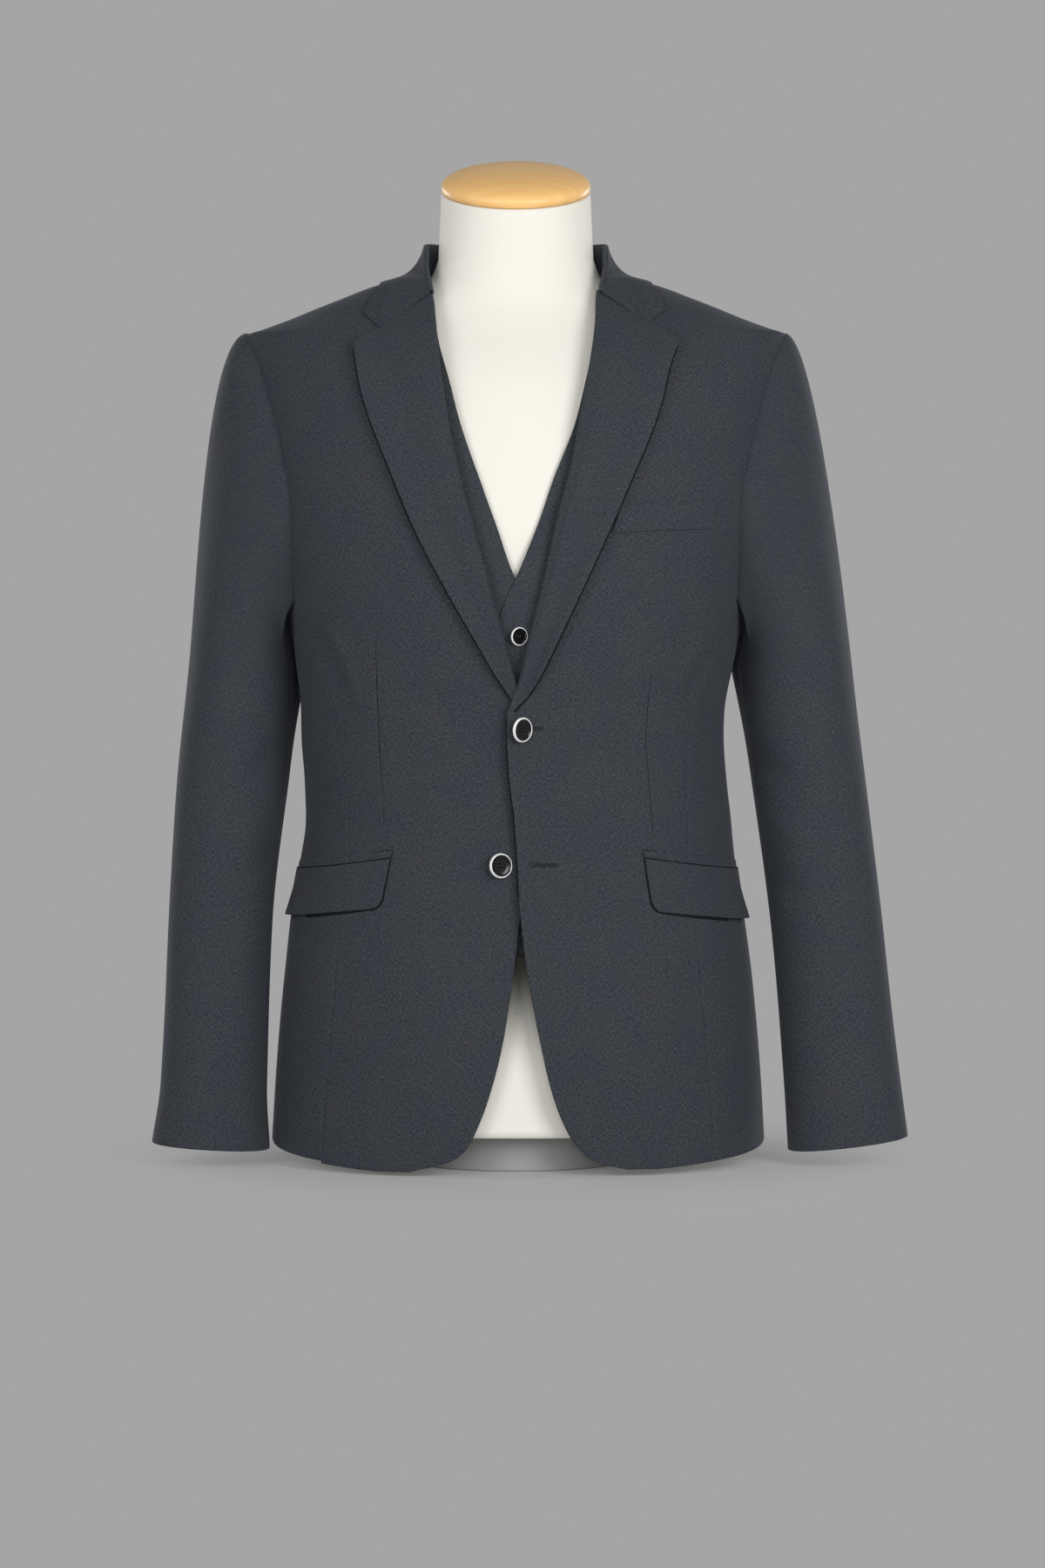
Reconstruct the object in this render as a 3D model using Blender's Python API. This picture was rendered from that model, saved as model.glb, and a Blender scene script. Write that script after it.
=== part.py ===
# A tailored jacket and waistcoat worn by a limbless dress form on a low foot.
# Metres. +Z is up, the front faces -Y and +X is the wearer's left.
# Every panel of cloth is a closed wall on one body surface, read as (turn, height):
# turn 0 is the centre front, 90 degrees the side and 180 the centre back.
import bmesh
import bpy
import numpy as np

LEFT = 1
RIGHT = -1

CLOTH = 0.0020
LEAF = 0.0018
LINING = 0.0015
SEAM = 0.0004
LAY = 0.0004
LAY_CURVED = 0.0012
LAY_COLLAR = 0.0034
LAP = 0.0024
VEST_DEPTH = 0.0085
VEST_LAP = 0.0019
VEST_SEAM = 0.002
VEST_NAPE_DIP = 0.012

ARMPIT = 0.455
SHOULDER = 0.676
HEM = 0.006
HEM_FADE = 0.12

FOOT_RADIUS = 0.100
FOOT_HEIGHT = 0.0297
FORM_BASE = 0.030
NECK_BASE = 0.735
NECK_CENTRE = (0.0065, 0.7916)
NECK_TILT = np.radians(20)
NECK_HALF = (0.061, 0.0605)
CAP_HEIGHT = 0.020
CAP_BAND = 0.005

JACKET_BUTTON = {"radius": 0.0100, "depth": 0.0036, "sides": 20}
VEST_BUTTON = {"radius": 0.0075, "depth": 0.0028, "sides": 14}
VEST_BUTTON_TOP = 0.427
VEST_BUTTON_STEP = 0.053
VEST_BUTTON_COUNT = 5
VEST_BUTTON_LIFT = 0.00075

# height, half width, front depth, back depth, squareness
BODY = [
    (0.000, 0.2035, 0.141, 0.128, 2.30),
    (0.107, 0.1960, 0.136, 0.119, 2.30),
    (0.193, 0.1870, 0.129, 0.103, 2.30),
    (0.278, 0.1745, 0.124, 0.088, 2.30),
    (0.321, 0.1730, 0.124, 0.086, 2.30),
    (0.364, 0.1735, 0.127, 0.090, 2.30),
    (0.407, 0.1795, 0.131, 0.098, 2.30),
    (0.455, 0.1875, 0.134, 0.107, 2.30),
    (0.500, 0.1960, 0.133, 0.113, 2.30),
    (0.550, 0.2035, 0.127, 0.116, 2.25),
    (0.600, 0.2100, 0.117, 0.114, 2.20),
    (0.630, 0.2145, 0.108, 0.110, 2.15),
    (0.655, 0.2190, 0.097, 0.104, 2.10),
    (0.668, 0.2215, 0.089, 0.099, 2.05),
    (0.676, 0.2210, 0.084, 0.096, 2.00),
    (0.680, 0.2095, 0.081, 0.094, 2.00),
    (0.689, 0.1850, 0.073, 0.089, 2.00),
    (0.698, 0.1630, 0.066, 0.085, 2.00),
    (0.706, 0.1420, 0.060, 0.081, 2.00),
    (0.714, 0.1190, 0.056, 0.078, 2.00),
    (0.719, 0.0980, 0.053, 0.0765, 2.00),
    (0.7225, 0.0850, 0.052, 0.0755, 2.00),
    (0.730, 0.0660, 0.050, 0.0720, 2.00),
    (0.750, 0.0600, 0.048, 0.0680, 2.00),
]

# height, half width, front depth, back depth, squareness
FORM = [
    (0.030, 0.1895, 0.1275, 0.1135, 2.30),
    (0.107, 0.1840, 0.1235, 0.1065, 2.30),
    (0.193, 0.1740, 0.1155, 0.0895, 2.30),
    (0.278, 0.1610, 0.1105, 0.0745, 2.30),
    (0.364, 0.1600, 0.1135, 0.0765, 2.30),
    (0.455, 0.1705, 0.1200, 0.0910, 2.30),
    (0.500, 0.1835, 0.1205, 0.1005, 2.30),
    (0.550, 0.1900, 0.1145, 0.1035, 2.25),
    (0.600, 0.1940, 0.1020, 0.1005, 2.20),
    (0.630, 0.1930, 0.0910, 0.0955, 2.15),
    (0.655, 0.1860, 0.0780, 0.0890, 2.10),
    (0.670, 0.1740, 0.0690, 0.0840, 2.05),
    (0.685, 0.1460, 0.0610, 0.0770, 2.00),
    (0.697, 0.1140, 0.0560, 0.0710, 2.00),
    (0.708, 0.0880, 0.0535, 0.0670, 2.00),
    (0.720, 0.0700, 0.0520, 0.0650, 2.00),
    (0.735, 0.0635, 0.0510, 0.0640, 2.00),
]

# height, distance of the cut edge from the centre line toward the wearer's own side
FRONT_EDGE = {
    LEFT: [
        (0.006, 0.088), (0.012, 0.064), (0.020, 0.053), (0.035, 0.042), (0.068, 0.029),
        (0.107, 0.020), (0.161, 0.010), (0.211, 0.004), (0.250, 0.001), (0.312, -0.004),
        (0.344, -0.007), (0.370, -0.002), (0.386, 0.0015), (0.417, 0.008), (0.477, 0.024),
        (0.517, 0.034), (0.558, 0.045), (0.597, 0.0525), (0.640, 0.0605), (0.678, 0.0655),
        (0.704, 0.067), (0.714, 0.073), (0.719, 0.0775), (0.7225, 0.0795),
    ],
    RIGHT: [
        (0.004, 0.087), (0.012, 0.054), (0.022, 0.0405), (0.037, 0.032), (0.068, 0.0205),
        (0.106, 0.011), (0.150, 0.004), (0.180, 0.001), (0.217, -0.0025), (0.235, -0.0185),
        (0.372, -0.0185), (0.384, -0.009), (0.394, 0.0015), (0.417, 0.0085), (0.486, 0.028),
        (0.517, 0.0365), (0.546, 0.0445), (0.600, 0.056), (0.651, 0.0635), (0.697, 0.068),
        (0.707, 0.0705), (0.714, 0.074), (0.719, 0.0775), (0.7225, 0.0795),
    ],
}

# height, distance of the lapel's free edge from the centre line
LAPEL_EDGE = {
    LEFT: [
        (0.370, -0.0015), (0.3785, 0.009), (0.398, 0.021), (0.420, 0.031), (0.484, 0.060),
        (0.545, 0.087), (0.611, 0.113), (0.643, 0.121), (0.659, 0.128),
    ],
    RIGHT: [
        (0.385, 0.0055), (0.402, 0.018), (0.426, 0.0315), (0.460, 0.051), (0.514, 0.079),
        (0.564, 0.0995), (0.598, 0.113), (0.628, 0.122), (0.657, 0.1275),
    ],
}
LAPEL_ROLL_START = {LEFT: 0.387, RIGHT: 0.396}
GORGE_TOP = 0.7005

# height, half width at the armhole seam, in front and behind
ARMHOLE = [
    (0.455, 0.1785, 0.1770),
    (0.486, 0.1800, 0.1815),
    (0.536, 0.1815, 0.1850),
    (0.563, 0.1860, 0.1890),
    (0.591, 0.1920, 0.1945),
    (0.622, 0.2000, 0.2020),
    (0.643, 0.2065, 0.2080),
    (0.660, 0.2130, 0.2145),
    (0.676, 0.2210, 0.2210),
]

# height, turn in degrees of the front and the back seam of the side panel
SIDE_SEAMS = [
    (0.000, 58, 122),
    (0.250, 57, 124),
    (0.350, 60, 123),
    (0.420, 66, 114),
]

# heights of the rows of points that neighbouring panels share, below the armhole and above it
LOW_LEVELS = [
    0.006, 0.022, 0.036, 0.060, 0.095, 0.130, 0.170, 0.205, 0.250, 0.285, 0.320, 0.350, 0.372, 0.405, 0.430, 0.455,
]
HIGH_LEVELS = [
    0.480, 0.510, 0.540, 0.570, 0.600, 0.625, 0.645, 0.660, 0.670, 0.676, 0.684, 0.693, 0.703, 0.713, 0.7225,
]

# turn in degrees, height of the hem
HEM_LINE = [(0, 0.006), (38, 0.006), (60, 0.010), (78, 0.015), (90, 0.0195), (125, 0.018), (180, 0.014)]

# height, half width of the waistcoat's armhole
VEST_ARMHOLE = [
    (0.430, 0.1830), (0.450, 0.1720), (0.480, 0.1580), (0.530, 0.1490),
    (0.600, 0.1460), (0.660, 0.1450), (0.690, 0.1430), (0.706, 0.1415),
]
VEST_SIDE = 0.430
VEST_HEM = [(0, 0.177), (12, 0.178), (45, 0.196), (90, 0.212), (180, 0.205)]
# height, distance of the waistcoat's edge from the centre line toward the wearer's own side
VEST_EDGE = {
    LEFT: [
        (0.170, -0.014), (0.439, -0.014), (0.4735, 0.0015), (0.517, 0.0185), (0.553, 0.031),
        (0.600, 0.049), (0.633, 0.057), (0.674, 0.065), (0.700, 0.068), (0.712, 0.072), (0.7225, 0.078),
    ],
    RIGHT: [
        (0.170, -0.016), (0.447, -0.016), (0.4735, 0.0010), (0.517, 0.0165), (0.546, 0.027),
        (0.601, 0.046), (0.631, 0.0535), (0.673, 0.064), (0.700, 0.068), (0.712, 0.072), (0.7225, 0.078),
    ],
}

# height, centre x, half width, centre y, half depth, rise toward the outside, fullness behind the armpit
SLEEVE = {
    LEFT: [
        (0.400, 0.2295, 0.0467, 0.004, 0.060, 0.00, 0.011), (0.321, 0.2385, 0.0460, -0.004, 0.054, 0.00, 0.003),
        (0.193, 0.2535, 0.0451, -0.020, 0.046, 0.00, 0), (0.064, 0.2656, 0.0472, -0.040, 0.040, 0.06, 0),
        (0.018, 0.2696, 0.0486, -0.046, 0.0385, 0.12, 0),
    ],
    RIGHT: [
        (0.400, 0.2258, 0.0430, 0.004, 0.060, 0.00, 0.015), (0.321, 0.2315, 0.0447, -0.004, 0.054, 0.00, 0.005),
        (0.193, 0.2412, 0.0420, -0.020, 0.046, 0.00, 0), (0.064, 0.2457, 0.0432, -0.040, 0.040, 0.03, 0),
        (0.016, 0.2477, 0.0477, -0.046, 0.0385, 0.06, 0),
    ],
}
SLEEVE_HEAD = {LEFT: 1.0, RIGHT: 1.4}
SLEEVE_SQUARE = 2.15
SLEEVE_START = 0.0019
FOREARM_SEAM = 160
HINDARM_SEAM = 300
# turn round the sleeve in degrees (0 outer, 90 front, 180 inner), leaving direction x, y, z, its reach, arrival reach
SLEEVE_CAP = [
    (0, 0.96, 0.00, -0.28, 0.075, 0.22),
    (45, 0.80, -0.28, -0.50, 0.080, 0.16),
    (90, 0.62, -0.22, -0.75, 0.090, 0.11),
    (135, 0.55, -0.10, -0.83, 0.060, 0.07),
    (180, 0.55, 0.00, -0.83, 0.035, 0.04),
    (225, 0.50, 0.12, -0.86, 0.060, 0.07),
    (270, 0.58, 0.28, -0.77, 0.090, 0.11),
    (315, 0.80, 0.28, -0.50, 0.080, 0.16),
    (360, 0.96, 0.00, -0.28, 0.075, 0.22),
]
CAP_MATCH = 0.54

# way from the centre back (0) to the front end (1), fold x, y, z, drop of the stand, edge turn in degrees, edge height
COLLAR = [
    (0.00, 0.0000, 0.0755, 0.7530, 0.029, 180, 0.7060),
    (0.25, 0.0400, 0.0655, 0.7525, 0.029, 147, 0.7070),
    (0.50, 0.0665, 0.0350, 0.7510, 0.027, 120, 0.7115),
    (0.68, 0.0735, 0.0060, 0.7480, 0.023, 90, 0.7180),
    (0.82, 0.0735, -0.0220, 0.7335, 0.012, 74, 0.7100),
    (0.92, 0.0706, -0.0425, 0.7170, 0.003, 69, 0.6985),
    (1.00, 0.0682, -0.0588, 0.7060, 0.001, 64.5, 0.6858),
]
COLLAR_FOLD = 0.0017
COLLAR_SAG = 0.0065
NOTCH = {"x": 0.1060, "z": 0.6768, "way": 0.72}

# corners as x, z seen from the front: top inner, top outer, bottom outer, bottom inner
FLAP = [(0.1015, 0.2510), (0.1780, 0.2390), (0.1835, 0.1975), (0.1083, 0.2095)]
JET = [(0.1000, 0.2570), (0.1765, 0.2450), (0.1772, 0.2399), (0.1010, 0.2519)]
WELT = [(0.0835, 0.5305), (0.1580, 0.5345), (0.1565, 0.5140), (0.0765, 0.5095)]
FLAP_KICK = 0.003

COLOURS = {
    "jacket cloth": (0.045, 0.050, 0.060),
    "waistcoat cloth": (0.060, 0.063, 0.071),
    "lining": (0.030, 0.031, 0.034),
    "button horn": (0.012, 0.012, 0.013),
    "form cloth": (0.780, 0.760, 0.690),
    "turned wood": (0.620, 0.400, 0.170),
    "foot paint": (0.380, 0.380, 0.380),
}


def glide(table, column, at):
    # smooth curve through a table's rows, without overshoot
    rows = np.array(table, float)
    xs, ys = rows[:, 0], rows[:, column]
    step = np.diff(xs)
    slope = np.diff(ys) / step
    bend = np.zeros(len(xs))
    bend[0], bend[-1] = slope[0], slope[-1]
    for i in range(1, len(xs) - 1):
        if slope[i - 1] * slope[i] > 0:
            w1 = 2 * step[i] + step[i - 1]
            w2 = step[i] + 2 * step[i - 1]
            bend[i] = (w1 + w2) / (w1 / slope[i - 1] + w2 / slope[i])
    at = np.clip(at, xs[0], xs[-1])
    i = np.clip(np.searchsorted(xs, at, side="right") - 1, 0, len(xs) - 2)
    t = (at - xs[i]) / step[i]
    rise = (2 * t**3 - 3 * t**2 + 1) * ys[i] + (3 * t**2 - 2 * t**3) * ys[i + 1]
    lean = (t**3 - 2 * t**2 + t) * bend[i] + (t**3 - t**2) * bend[i + 1]
    return rise + lean * step[i]


def ease(low, high, at):
    t = np.clip((at - low) / (high - low), 0, 1)
    return t * t * (3 - 2 * t)


def unit(vectors):
    return vectors / np.linalg.norm(vectors, axis=-1, keepdims=True)


def ring(table, turn, height):
    # point of a rounded section at a turn and a height
    half = glide(table, 1, height)
    depth = np.where(np.cos(turn) > 0, glide(table, 2, height), glide(table, 3, height))
    power = glide(table, 4, height)
    reach = (np.abs(np.sin(turn) / half) ** power + np.abs(np.cos(turn) / depth) ** power) ** (-1 / power)
    return np.stack([reach * np.sin(turn), -reach * np.cos(turn), height + 0 * turn], axis=-1)


def outward(patch, u, v, nudge=1e-3):
    along = patch(u + nudge, v) - patch(u - nudge, v)
    up = patch(u, v + nudge) - patch(u, v - nudge)
    return unit(np.cross(along, up))


def body(turn, height):
    return ring(BODY, turn, height)


def on_body(turn, height, lift):
    # point lifted off the jacket's outer face
    lift = np.asarray(lift) + 0 * turn
    return body(turn, height) + outward(body, turn, height) * lift[..., None]


def turn_at(x, height, behind=False):
    # turn of the body point that stands at a given x
    half = glide(BODY, 1, height)
    depth = glide(BODY, 3 if behind else 2, height)
    power = glide(BODY, 4, height)
    y = depth * (1 - np.clip(np.abs(x) / half, 0, 1) ** power) ** (1 / power)
    turn = np.arctan2(np.abs(x), y)
    turn = np.where(behind, np.pi - turn, turn)
    return turn * np.sign(x)


def lap(side, x, height):
    # the wearer's left front lies over the right one near the centre
    if side == RIGHT:
        return 0 * x
    return LAP * (1 - ease(0.026, 0.060, x)) * (1 - ease(0.40, 0.47, height))


def above(points, lift):
    # points pushed out until they clear the body by the lift
    for _ in range(4):
        turn = np.arctan2(points[..., 0], -points[..., 1])
        height = points[..., 2]
        foot = body(turn, height)
        normal = outward(body, turn, height)
        short = lift - np.sum((points - foot) * normal, axis=-1)
        points = points + normal * np.maximum(short, 0)[..., None]
    return points


def solid(name, verts, faces, colour):
    mesh = bpy.data.meshes.new(name)
    mesh.from_pydata([tuple(v) for v in verts], [], faces)
    work = bmesh.new()
    work.from_mesh(mesh)
    bmesh.ops.recalc_face_normals(work, faces=work.faces)
    work.to_mesh(mesh)
    work.free()
    thing = bpy.data.objects.new(name, mesh)
    bpy.context.scene.collection.objects.link(thing)
    paint = bpy.data.materials.new(name + " " + colour)
    paint.use_nodes = True
    paint.node_tree.nodes["Principled BSDF"].inputs["Base Color"].default_value = (*COLOURS[colour], 1)
    mesh.materials.append(paint)
    return thing


def wall(name, outer, inner, colour):
    # closed body between two sheets of points with the same rows and columns
    rows, cols = outer.shape[:2]
    verts = np.concatenate([outer.reshape(-1, 3), inner.reshape(-1, 3)])
    spot = np.arange(2 * rows * cols).reshape(2, rows, cols)
    faces = []
    for r in range(rows - 1):
        for c in range(cols - 1):
            for sheet in spot:
                faces.append((sheet[r, c], sheet[r, c + 1], sheet[r + 1, c + 1], sheet[r + 1, c]))
    rim = [(0, c) for c in range(cols - 1)] + [(r, cols - 1) for r in range(rows - 1)]
    rim += [(rows - 1, c) for c in range(cols - 1, 0, -1)] + [(r, 0) for r in range(rows - 1, 0, -1)]
    for a, b in zip(rim, rim[1:] + rim[:1]):
        faces.append((spot[0][a], spot[0][b], spot[1][b], spot[1][a]))
    return solid(name, verts, [tuple(int(i) for i in face) for face in faces], colour)


def turned(name, rings, colour):
    # closed body from stacked rings, flat at both ends
    rings = np.array(rings)
    count, around = rings.shape[:2]
    spot = np.arange(count * around).reshape(count, around)
    faces = [tuple(int(i) for i in spot[0]), tuple(int(i) for i in spot[-1])]
    for r in range(count - 1):
        for c in range(around):
            n = (c + 1) % around
            faces.append(tuple(int(i) for i in (spot[r, c], spot[r, n], spot[r + 1, n], spot[r + 1, c])))
    return solid(name, rings.reshape(-1, 3), faces, colour)


def grid(first, last, steps):
    return np.linspace(first, last, steps)


def hem_rise(turn, height):
    line = glide(HEM_LINE, 1, np.degrees(np.abs(turn))) - HEM
    return line * (1 - np.clip(height / HEM_FADE, 0, 1))


def armhole_edge(height, behind):
    return turn_at(glide(ARMHOLE, 2 if behind else 1, height), height, behind)


def seam_turn(behind, height):
    # the side seams run up into the two lower corners of the armhole
    ends = [np.degrees(float(armhole_edge(ARMPIT, back))) for back in (False, True)]
    return np.radians(glide(SIDE_SEAMS + [(ARMPIT, *ends)], 2 if behind else 1, height))


def armhole_turn(height, behind):
    edge = armhole_edge(height, behind)
    seam = seam_turn(behind, height)
    return np.where(height < ARMPIT, seam, np.where(height < SHOULDER, edge, np.pi / 2))


def body_panel(name, side, levels, start, stop, columns, lift, colour):
    # wall between two edges that are given as turns, level by level
    gap = SEAM / 2 / glide(BODY, 1, levels)
    height = levels[:, None] + np.zeros((1, columns))
    turn = (start + gap)[:, None] + (stop - start - 2 * gap)[:, None] * grid(0, 1, columns)
    height = height + hem_rise(turn, height)
    rise = lift(body(turn, height)[..., 0], height)
    turn = turn * side
    outer = on_body(turn, height, rise)
    inner = on_body(turn, height, rise - CLOTH)
    return wall(name, outer, inner, colour)


def jacket_front(name, side):
    low = FRONT_EDGE[side][0][0]
    levels = np.array([low, 0.013, *LOW_LEVELS[1:], 0.225, 0.386, *HIGH_LEVELS])
    levels.sort()
    start = turn_at(glide(FRONT_EDGE[side], 1, levels), levels)
    stop = armhole_turn(levels, False)
    body_panel(name, side, levels, start, stop, 10, lambda x, z: lap(side, x, z), "jacket cloth")


def side_panel(name, side):
    levels = np.array(LOW_LEVELS)
    levels[-1] -= 2 * SEAM
    start = seam_turn(False, levels)
    stop = seam_turn(True, levels)
    body_panel(name, side, levels, start, stop, 8, lambda x, z: 0 * x, "jacket cloth")


def jacket_back(name, side):
    levels = np.array([*LOW_LEVELS, *HIGH_LEVELS])
    start = armhole_turn(levels, True)
    stop = np.full(len(levels), np.pi)
    body_panel(name, side, levels, start, stop, 9, lambda x, z: 0 * x, "jacket cloth")


def armhole_loop(turn):
    # point of the armhole seam at a turn round the sleeve, for the left side
    down = grid(SHOULDER, ARMPIT, 40)
    front = armhole_turn(down - 1e-6, False)
    front[-1] = seam_turn(False, ARMPIT)
    back = armhole_turn(down - 1e-6, True)
    back[-1] = seam_turn(True, ARMPIT)
    under = grid(front[-1], back[-1], 12)[1:-1]
    turns = np.concatenate([front, under, back[::-1]])
    heights = np.concatenate([down, np.full(len(under), ARMPIT), down[::-1]])
    line = body(turns, heights)
    run = np.concatenate([[0], np.cumsum(np.linalg.norm(np.diff(line, axis=0), axis=1))])
    front_match = np.interp(SHOULDER - CAP_MATCH, SHOULDER - down, run[:40])
    back_match = run[-1] - np.interp(SHOULDER - CAP_MATCH, SHOULDER - down, run[-1] - run[:-41:-1])
    bottom = (run[39] + run[-40]) / 2
    keys = [0, np.pi / 2, np.pi, 3 * np.pi / 2, 2 * np.pi]
    way = np.interp(np.mod(turn, 2 * np.pi), keys, [0, front_match, bottom, back_match, run[-1]])
    return np.stack([np.interp(way, run, line[:, k]) for k in range(3)], axis=-1)


def sleeve_section(side, turn, height):
    table = SLEEVE[side][::-1]
    across, half, deep, depth, rise, full = (glide(table, k, height) for k in range(1, 7))
    c, s = np.cos(turn), np.sin(turn)
    power = 2 / SLEEVE_SQUARE
    x = across + half * np.sign(c) * np.abs(c) ** power - full * 2 * np.maximum(-c, 0) * np.maximum(-s, 0)
    y = deep - depth * np.sign(s) * np.abs(s) ** power
    return np.stack([x, y, height + (x - across) * rise], axis=-1)


def sleeve_point(side, turn, way):
    # way 0..1 runs from the armhole to the upper arm, 1..2 from there to the cuff
    degrees = np.degrees(np.mod(turn, 2 * np.pi))
    leave = unit(np.stack([glide(SLEEVE_CAP, k, degrees) for k in (1, 2, 3)], axis=-1))
    start = armhole_loop(turn) + leave * SLEEVE_START
    top, cuff = SLEEVE[side][0][0], SLEEVE[side][-1][0]
    finish = sleeve_section(side, turn, top + 0 * turn)
    after = sleeve_section(side, turn, top - 0.02 + 0 * turn)
    arrive = unit(after - finish) * glide(SLEEVE_CAP, 5, degrees)[..., None]
    leave = leave * glide(SLEEVE_CAP, 4, degrees)[..., None] * np.array([SLEEVE_HEAD[side], 1, 1])
    t = np.clip(way, 0, 1)[..., None]
    cap = (2 * t**3 - 3 * t**2 + 1) * start + (t**3 - 2 * t**2 + t) * leave
    cap = cap + (3 * t**2 - 2 * t**3) * finish + (t**3 - t**2) * arrive
    height = top + (cuff - top) * np.clip(way - 1, 0, 1)
    arm = sleeve_section(side, turn, height)
    return np.where((way < 1)[..., None], cap, arm)


def sleeve_piece(name, side, first, last, columns):
    gap = 0.4
    turns = np.radians(grid(first + gap, last - gap, columns))
    ways = np.concatenate([[0, 0.08, 0.17, 0.28, 0.42, 0.58, 0.78, 1.0], 1 + grid(0.12, 1, 8)])
    turn, way = np.meshgrid(turns, ways)

    def patch(u, v):
        return sleeve_point(side, u, np.clip(v, 0, 2))

    outer = patch(turn, way)
    inner = outer - outward(patch, turn, way) * LEAF
    mirror = np.array([side, 1, 1])
    wall(name, outer * mirror, inner * mirror, "jacket cloth")


def lapel_spot(side, across, way):
    roll_height = LAPEL_ROLL_START[side] + (GORGE_TOP - LAPEL_ROLL_START[side]) * way
    roll_x = glide(FRONT_EDGE[side], 1, roll_height)
    edge = LAPEL_EDGE[side]
    edge_height = edge[0][0] + (edge[-1][0] - edge[0][0]) * way
    edge_x = glide(edge, 1, edge_height)
    return roll_x + (edge_x - roll_x) * across, roll_height + (edge_height - roll_height) * across


def lapel(name, side):
    across, way = np.meshgrid(grid(0, 1, 6), grid(0, 1, 19))
    x, height = lapel_spot(side, across, way)
    turn = turn_at(x, height)
    roll = 0.0022 * (1 - across) ** 2 * np.sin(np.pi * way) ** 0.6
    rise = lap(side, x, height) + LAY_CURVED + roll
    outer = on_body(turn, height, rise + LEAF) * np.array([side, 1, 1])
    inner = on_body(turn, height, rise) * np.array([side, 1, 1])
    wall(name, outer, inner, "jacket cloth")


def collar_line(way, across):
    # middle of the folded band: across -1..0 is the stand, 0..1 the leaf
    fold = np.stack([glide(COLLAR, k, way) for k in (1, 2, 3)], axis=-1)
    ahead = np.stack([glide(COLLAR, k, np.minimum(way + 0.01, 1)) for k in (1, 2, 3)], axis=-1)
    behind = np.stack([glide(COLLAR, k, np.maximum(way - 0.01, 0)) for k in (1, 2, 3)], axis=-1)
    run = ahead - behind
    side = unit(np.stack([-run[..., 1], run[..., 0], 0 * way], axis=-1))
    side = np.where((way < 1e-6)[..., None], np.array([0.0, 1.0, 0.0]), side)
    up = np.array([0.0, 0.0, 1.0])
    edge_turn = np.radians(glide(COLLAR, 5, way))
    edge = on_body(edge_turn, glide(COLLAR, 6, way), LAY_COLLAR)
    inside = fold - (side + up) * COLLAR_FOLD
    foot = inside - up * glide(COLLAR, 4, way)[..., None]
    outside = fold + (side - up) * COLLAR_FOLD
    notch = on_body(turn_at(NOTCH["x"], NOTCH["z"] + 0 * way), NOTCH["z"] + 0 * way, LAY_COLLAR)
    stand_way = np.clip(1 + across, 0, 1)[..., None]
    stand = foot + (inside - foot) * stand_way
    bend = (np.clip(across / 0.18, 0, 1) * np.pi)[..., None]
    arc = fold - up * COLLAR_FOLD - side * np.cos(bend) * COLLAR_FOLD + up * np.sin(bend) * COLLAR_FOLD
    leaf_way = np.clip((across - 0.18) / 0.82, 0, 1)[..., None]
    straight = outside + (edge - outside) * leaf_way
    first = outside + (notch - outside) * (leaf_way / NOTCH["way"])
    second = notch + (edge - notch) * (leaf_way - NOTCH["way"]) / (1 - NOTCH["way"])
    cut = np.where(leaf_way < NOTCH["way"], first, second)
    leaf = straight + (cut - straight) * ease(0.80, 1.0, way)[..., None]
    leaf = leaf - up * COLLAR_SAG * np.sin(np.pi * leaf_way**0.7) * (1 - ease(0.80, 1.0, way))[..., None]
    leaf = above(leaf, LAY_COLLAR)
    return np.where((across <= 0)[..., None], stand, np.where((across < 0.18)[..., None], arc, leaf))


def collar(name):
    ways = np.array([0, 0.1, 0.2, 0.3, 0.4, 0.5, 0.6, 0.68, 0.75, 0.82, 0.88, 0.94, 1.0])
    across = np.array([-1, -0.5, 0, 0.06, 0.12, 0.18, 0.35, 0.52, 0.68, 0.77, 0.88, 1.0])
    half_way, half_across = np.meshgrid(ways, across, indexing="ij")
    middle = collar_line(half_way, half_across)
    mirrored = middle[:0:-1] * np.array([-1, 1, 1])
    middle = np.concatenate([mirrored, middle])
    along = np.gradient(middle, axis=0)
    down = np.gradient(middle, axis=1)
    normal = unit(np.cross(along, down))
    wall(name, middle - normal * LEAF / 2, middle + normal * LEAF / 2, "jacket cloth")


def patch_on_front(name, side, corners, columns, rows, lift, thick, kick):
    # flat piece laid on the body between four corners
    x, height = np.array(corners).T
    corners = np.stack([turn_at(x, height), height], axis=-1)
    across, down = np.meshgrid(grid(0, 1, columns), grid(1, 0, rows))
    top = corners[0] + (corners[1] - corners[0]) * across[..., None]
    bottom = corners[3] + (corners[2] - corners[3]) * across[..., None]
    spot = top + (bottom - top) * down[..., None]
    turn, height = spot[..., 0] * side, spot[..., 1]
    rise = lift + kick * ease(0.6, 1.0, across) * down**2
    wall(name, on_body(turn, height, rise + thick), on_body(turn, height, rise), "jacket cloth")


def button(name, spot, facing, size, colour):
    # turned disc with a raised rim and a dished face
    around = grid(0, 2 * np.pi, size["sides"] + 1)[:-1]
    radius, depth = size["radius"], size["depth"]
    profile = [(0.72, 0), (0.95, 0.18), (1.0, 0.5), (0.96, 0.86), (0.88, 1.0), (0.78, 0.94), (0.68, 0.66)]
    facing = unit(np.array(facing))
    sideways = unit(np.cross([0, 0, 1.0], facing))
    upward = np.cross(facing, sideways)
    rings = []
    for reach, out in profile:
        flat = np.cos(around)[:, None] * sideways + np.sin(around)[:, None] * upward
        rings.append(spot + flat * radius * reach + facing * depth * out)
    turned(name, rings, colour)


def button_on_body(name, x, height, lift, size):
    turn = turn_at(x, height)
    spot = on_body(turn, height + 0 * turn, lift)
    facing = outward(body, turn, height + 0 * turn)
    button(name, spot, facing, size, "button horn")


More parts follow.
